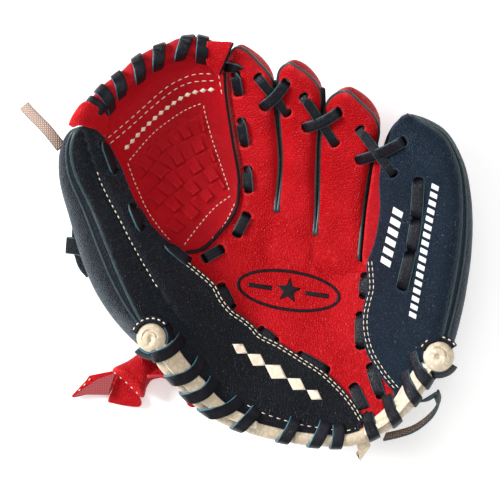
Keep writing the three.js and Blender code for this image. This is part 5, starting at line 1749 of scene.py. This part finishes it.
def marking(name, shapes, surface, material, body, holes=(), lift=0.14):
    """Thin printed shapes that follow the leather."""
    parts = []
    for shape in shapes:
        shape = np.array(shape, float)
        inner = [h for h in holes if inside(*np.array(h)[:1].T, shape).all()]
        parts.append(fill_mesh(shape, lambda x, y: surface(x, y) + lift, spacing=1.0,
                               holes=inner, rim=()))
    return piece(name, *merged(parts), material, body, thickness=0.1)


def turned(points, cx, cy, angle):
    """A shape turned by an angle and moved to a middle point."""
    points = np.array(points, float)
    c, s = math.cos(angle), math.sin(angle)
    return np.stack([cx + points[:, 0] * c - points[:, 1] * s,
                     cy + points[:, 0] * s + points[:, 1] * c], -1)


def star(radius, inner, count=5):
    """A star's outline."""
    a = np.pi / 2 + np.arange(2 * count) * np.pi / count
    r = np.where(np.arange(2 * count) % 2 == 0, radius, inner)
    return np.stack([r * np.cos(a), r * np.sin(a)], -1)


def diamond(length, width):
    """A diamond's outline."""
    return [[length / 2, 0], [0, width / 2], [-length / 2, 0], [0, -width / 2]]


MARK = (19.5, -20.5)
MARK_TURN = -0.145
RING_POINTS = 56
outer_ring = ellipse(*MARK, 26.5, 10.4, MARK_TURN, RING_POINTS)
inner_ring = ellipse(*MARK, 24.8, 8.8, MARK_TURN, RING_POINTS)
bars = [turned([[a, -1.1], [b, -1.1], [b, 1.1], [a, 1.1]], *MARK, MARK_TURN)
        for a, b in ((-20.5, -8.5), (8.5, 20.5))]
marking("palm_mark", [outer_ring], red_height, PRINT_BLACK, "palm", holes=[inner_ring])
marking("palm_mark_star", [turned(star(6.6, 2.9), *MARK, MARK_TURN), *bars], red_height,
        PRINT_BLACK, "palm")
HEEL_MARKS = [([-5.0, -49.6], 9), ([3.4, -55.2], 11), ([13.0, -61.2], 13), ([23.4, -67.4], 11),
              ([32.4, -72.8], 9)]
heel_turn = -0.56
marking("heel_mark", [turned(diamond(size, size * 0.62), *at, heel_turn)
                      for at, size in HEEL_MARKS], black_height, PRINT_CREAM, "thumb_fold")
WEB_MARK_LINE = resample([[-61.5, 51.5], [-53, 61], [-43.6, 69.6], [-33.6, 76.6], [-26, 79.4],
                          [-19.5, 80.2]], 4.1)
web_aheads = unit(np.gradient(WEB_MARK_LINE, axis=0))
marking("web_mark", [turned(diamond(3.6, 2.3), *p, math.atan2(a[1], a[0]))
                     for p, a in zip(WEB_MARK_LINE, web_aheads)], web_height, PRINT_CREAM,
        "thumb_fold")


def slanted_bars(a, b, count, height, fill=0.62, slant=0.9):
    """A row of short slanted bars from a to b."""
    a, b = np.array(a, float), np.array(b, float)
    along = unit(b - a)
    across = np.array([along[1], -along[0]])
    pitch = np.linalg.norm(b - a) / count
    rows = []
    for i in range(count):
        start = a + along * pitch * i
        shift = along * slant
        top, bottom = -across * height / 2 + shift, across * height / 2 - shift
        wide = along * pitch * fill
        rows.append([start + bottom, start + bottom + wide, start + top + wide, start + top])
    return rows


marking("little_finger_marks",
        slanted_bars([67.6, -7.4], [74.4, 22.0], 6, 5.2) + slanted_bars([80.8, -33.6], [92.0, 33.8],
                                                                        17, 3.6, 0.6, 0.6),
        navy_height, PRINT_WHITE, "pinky_side")
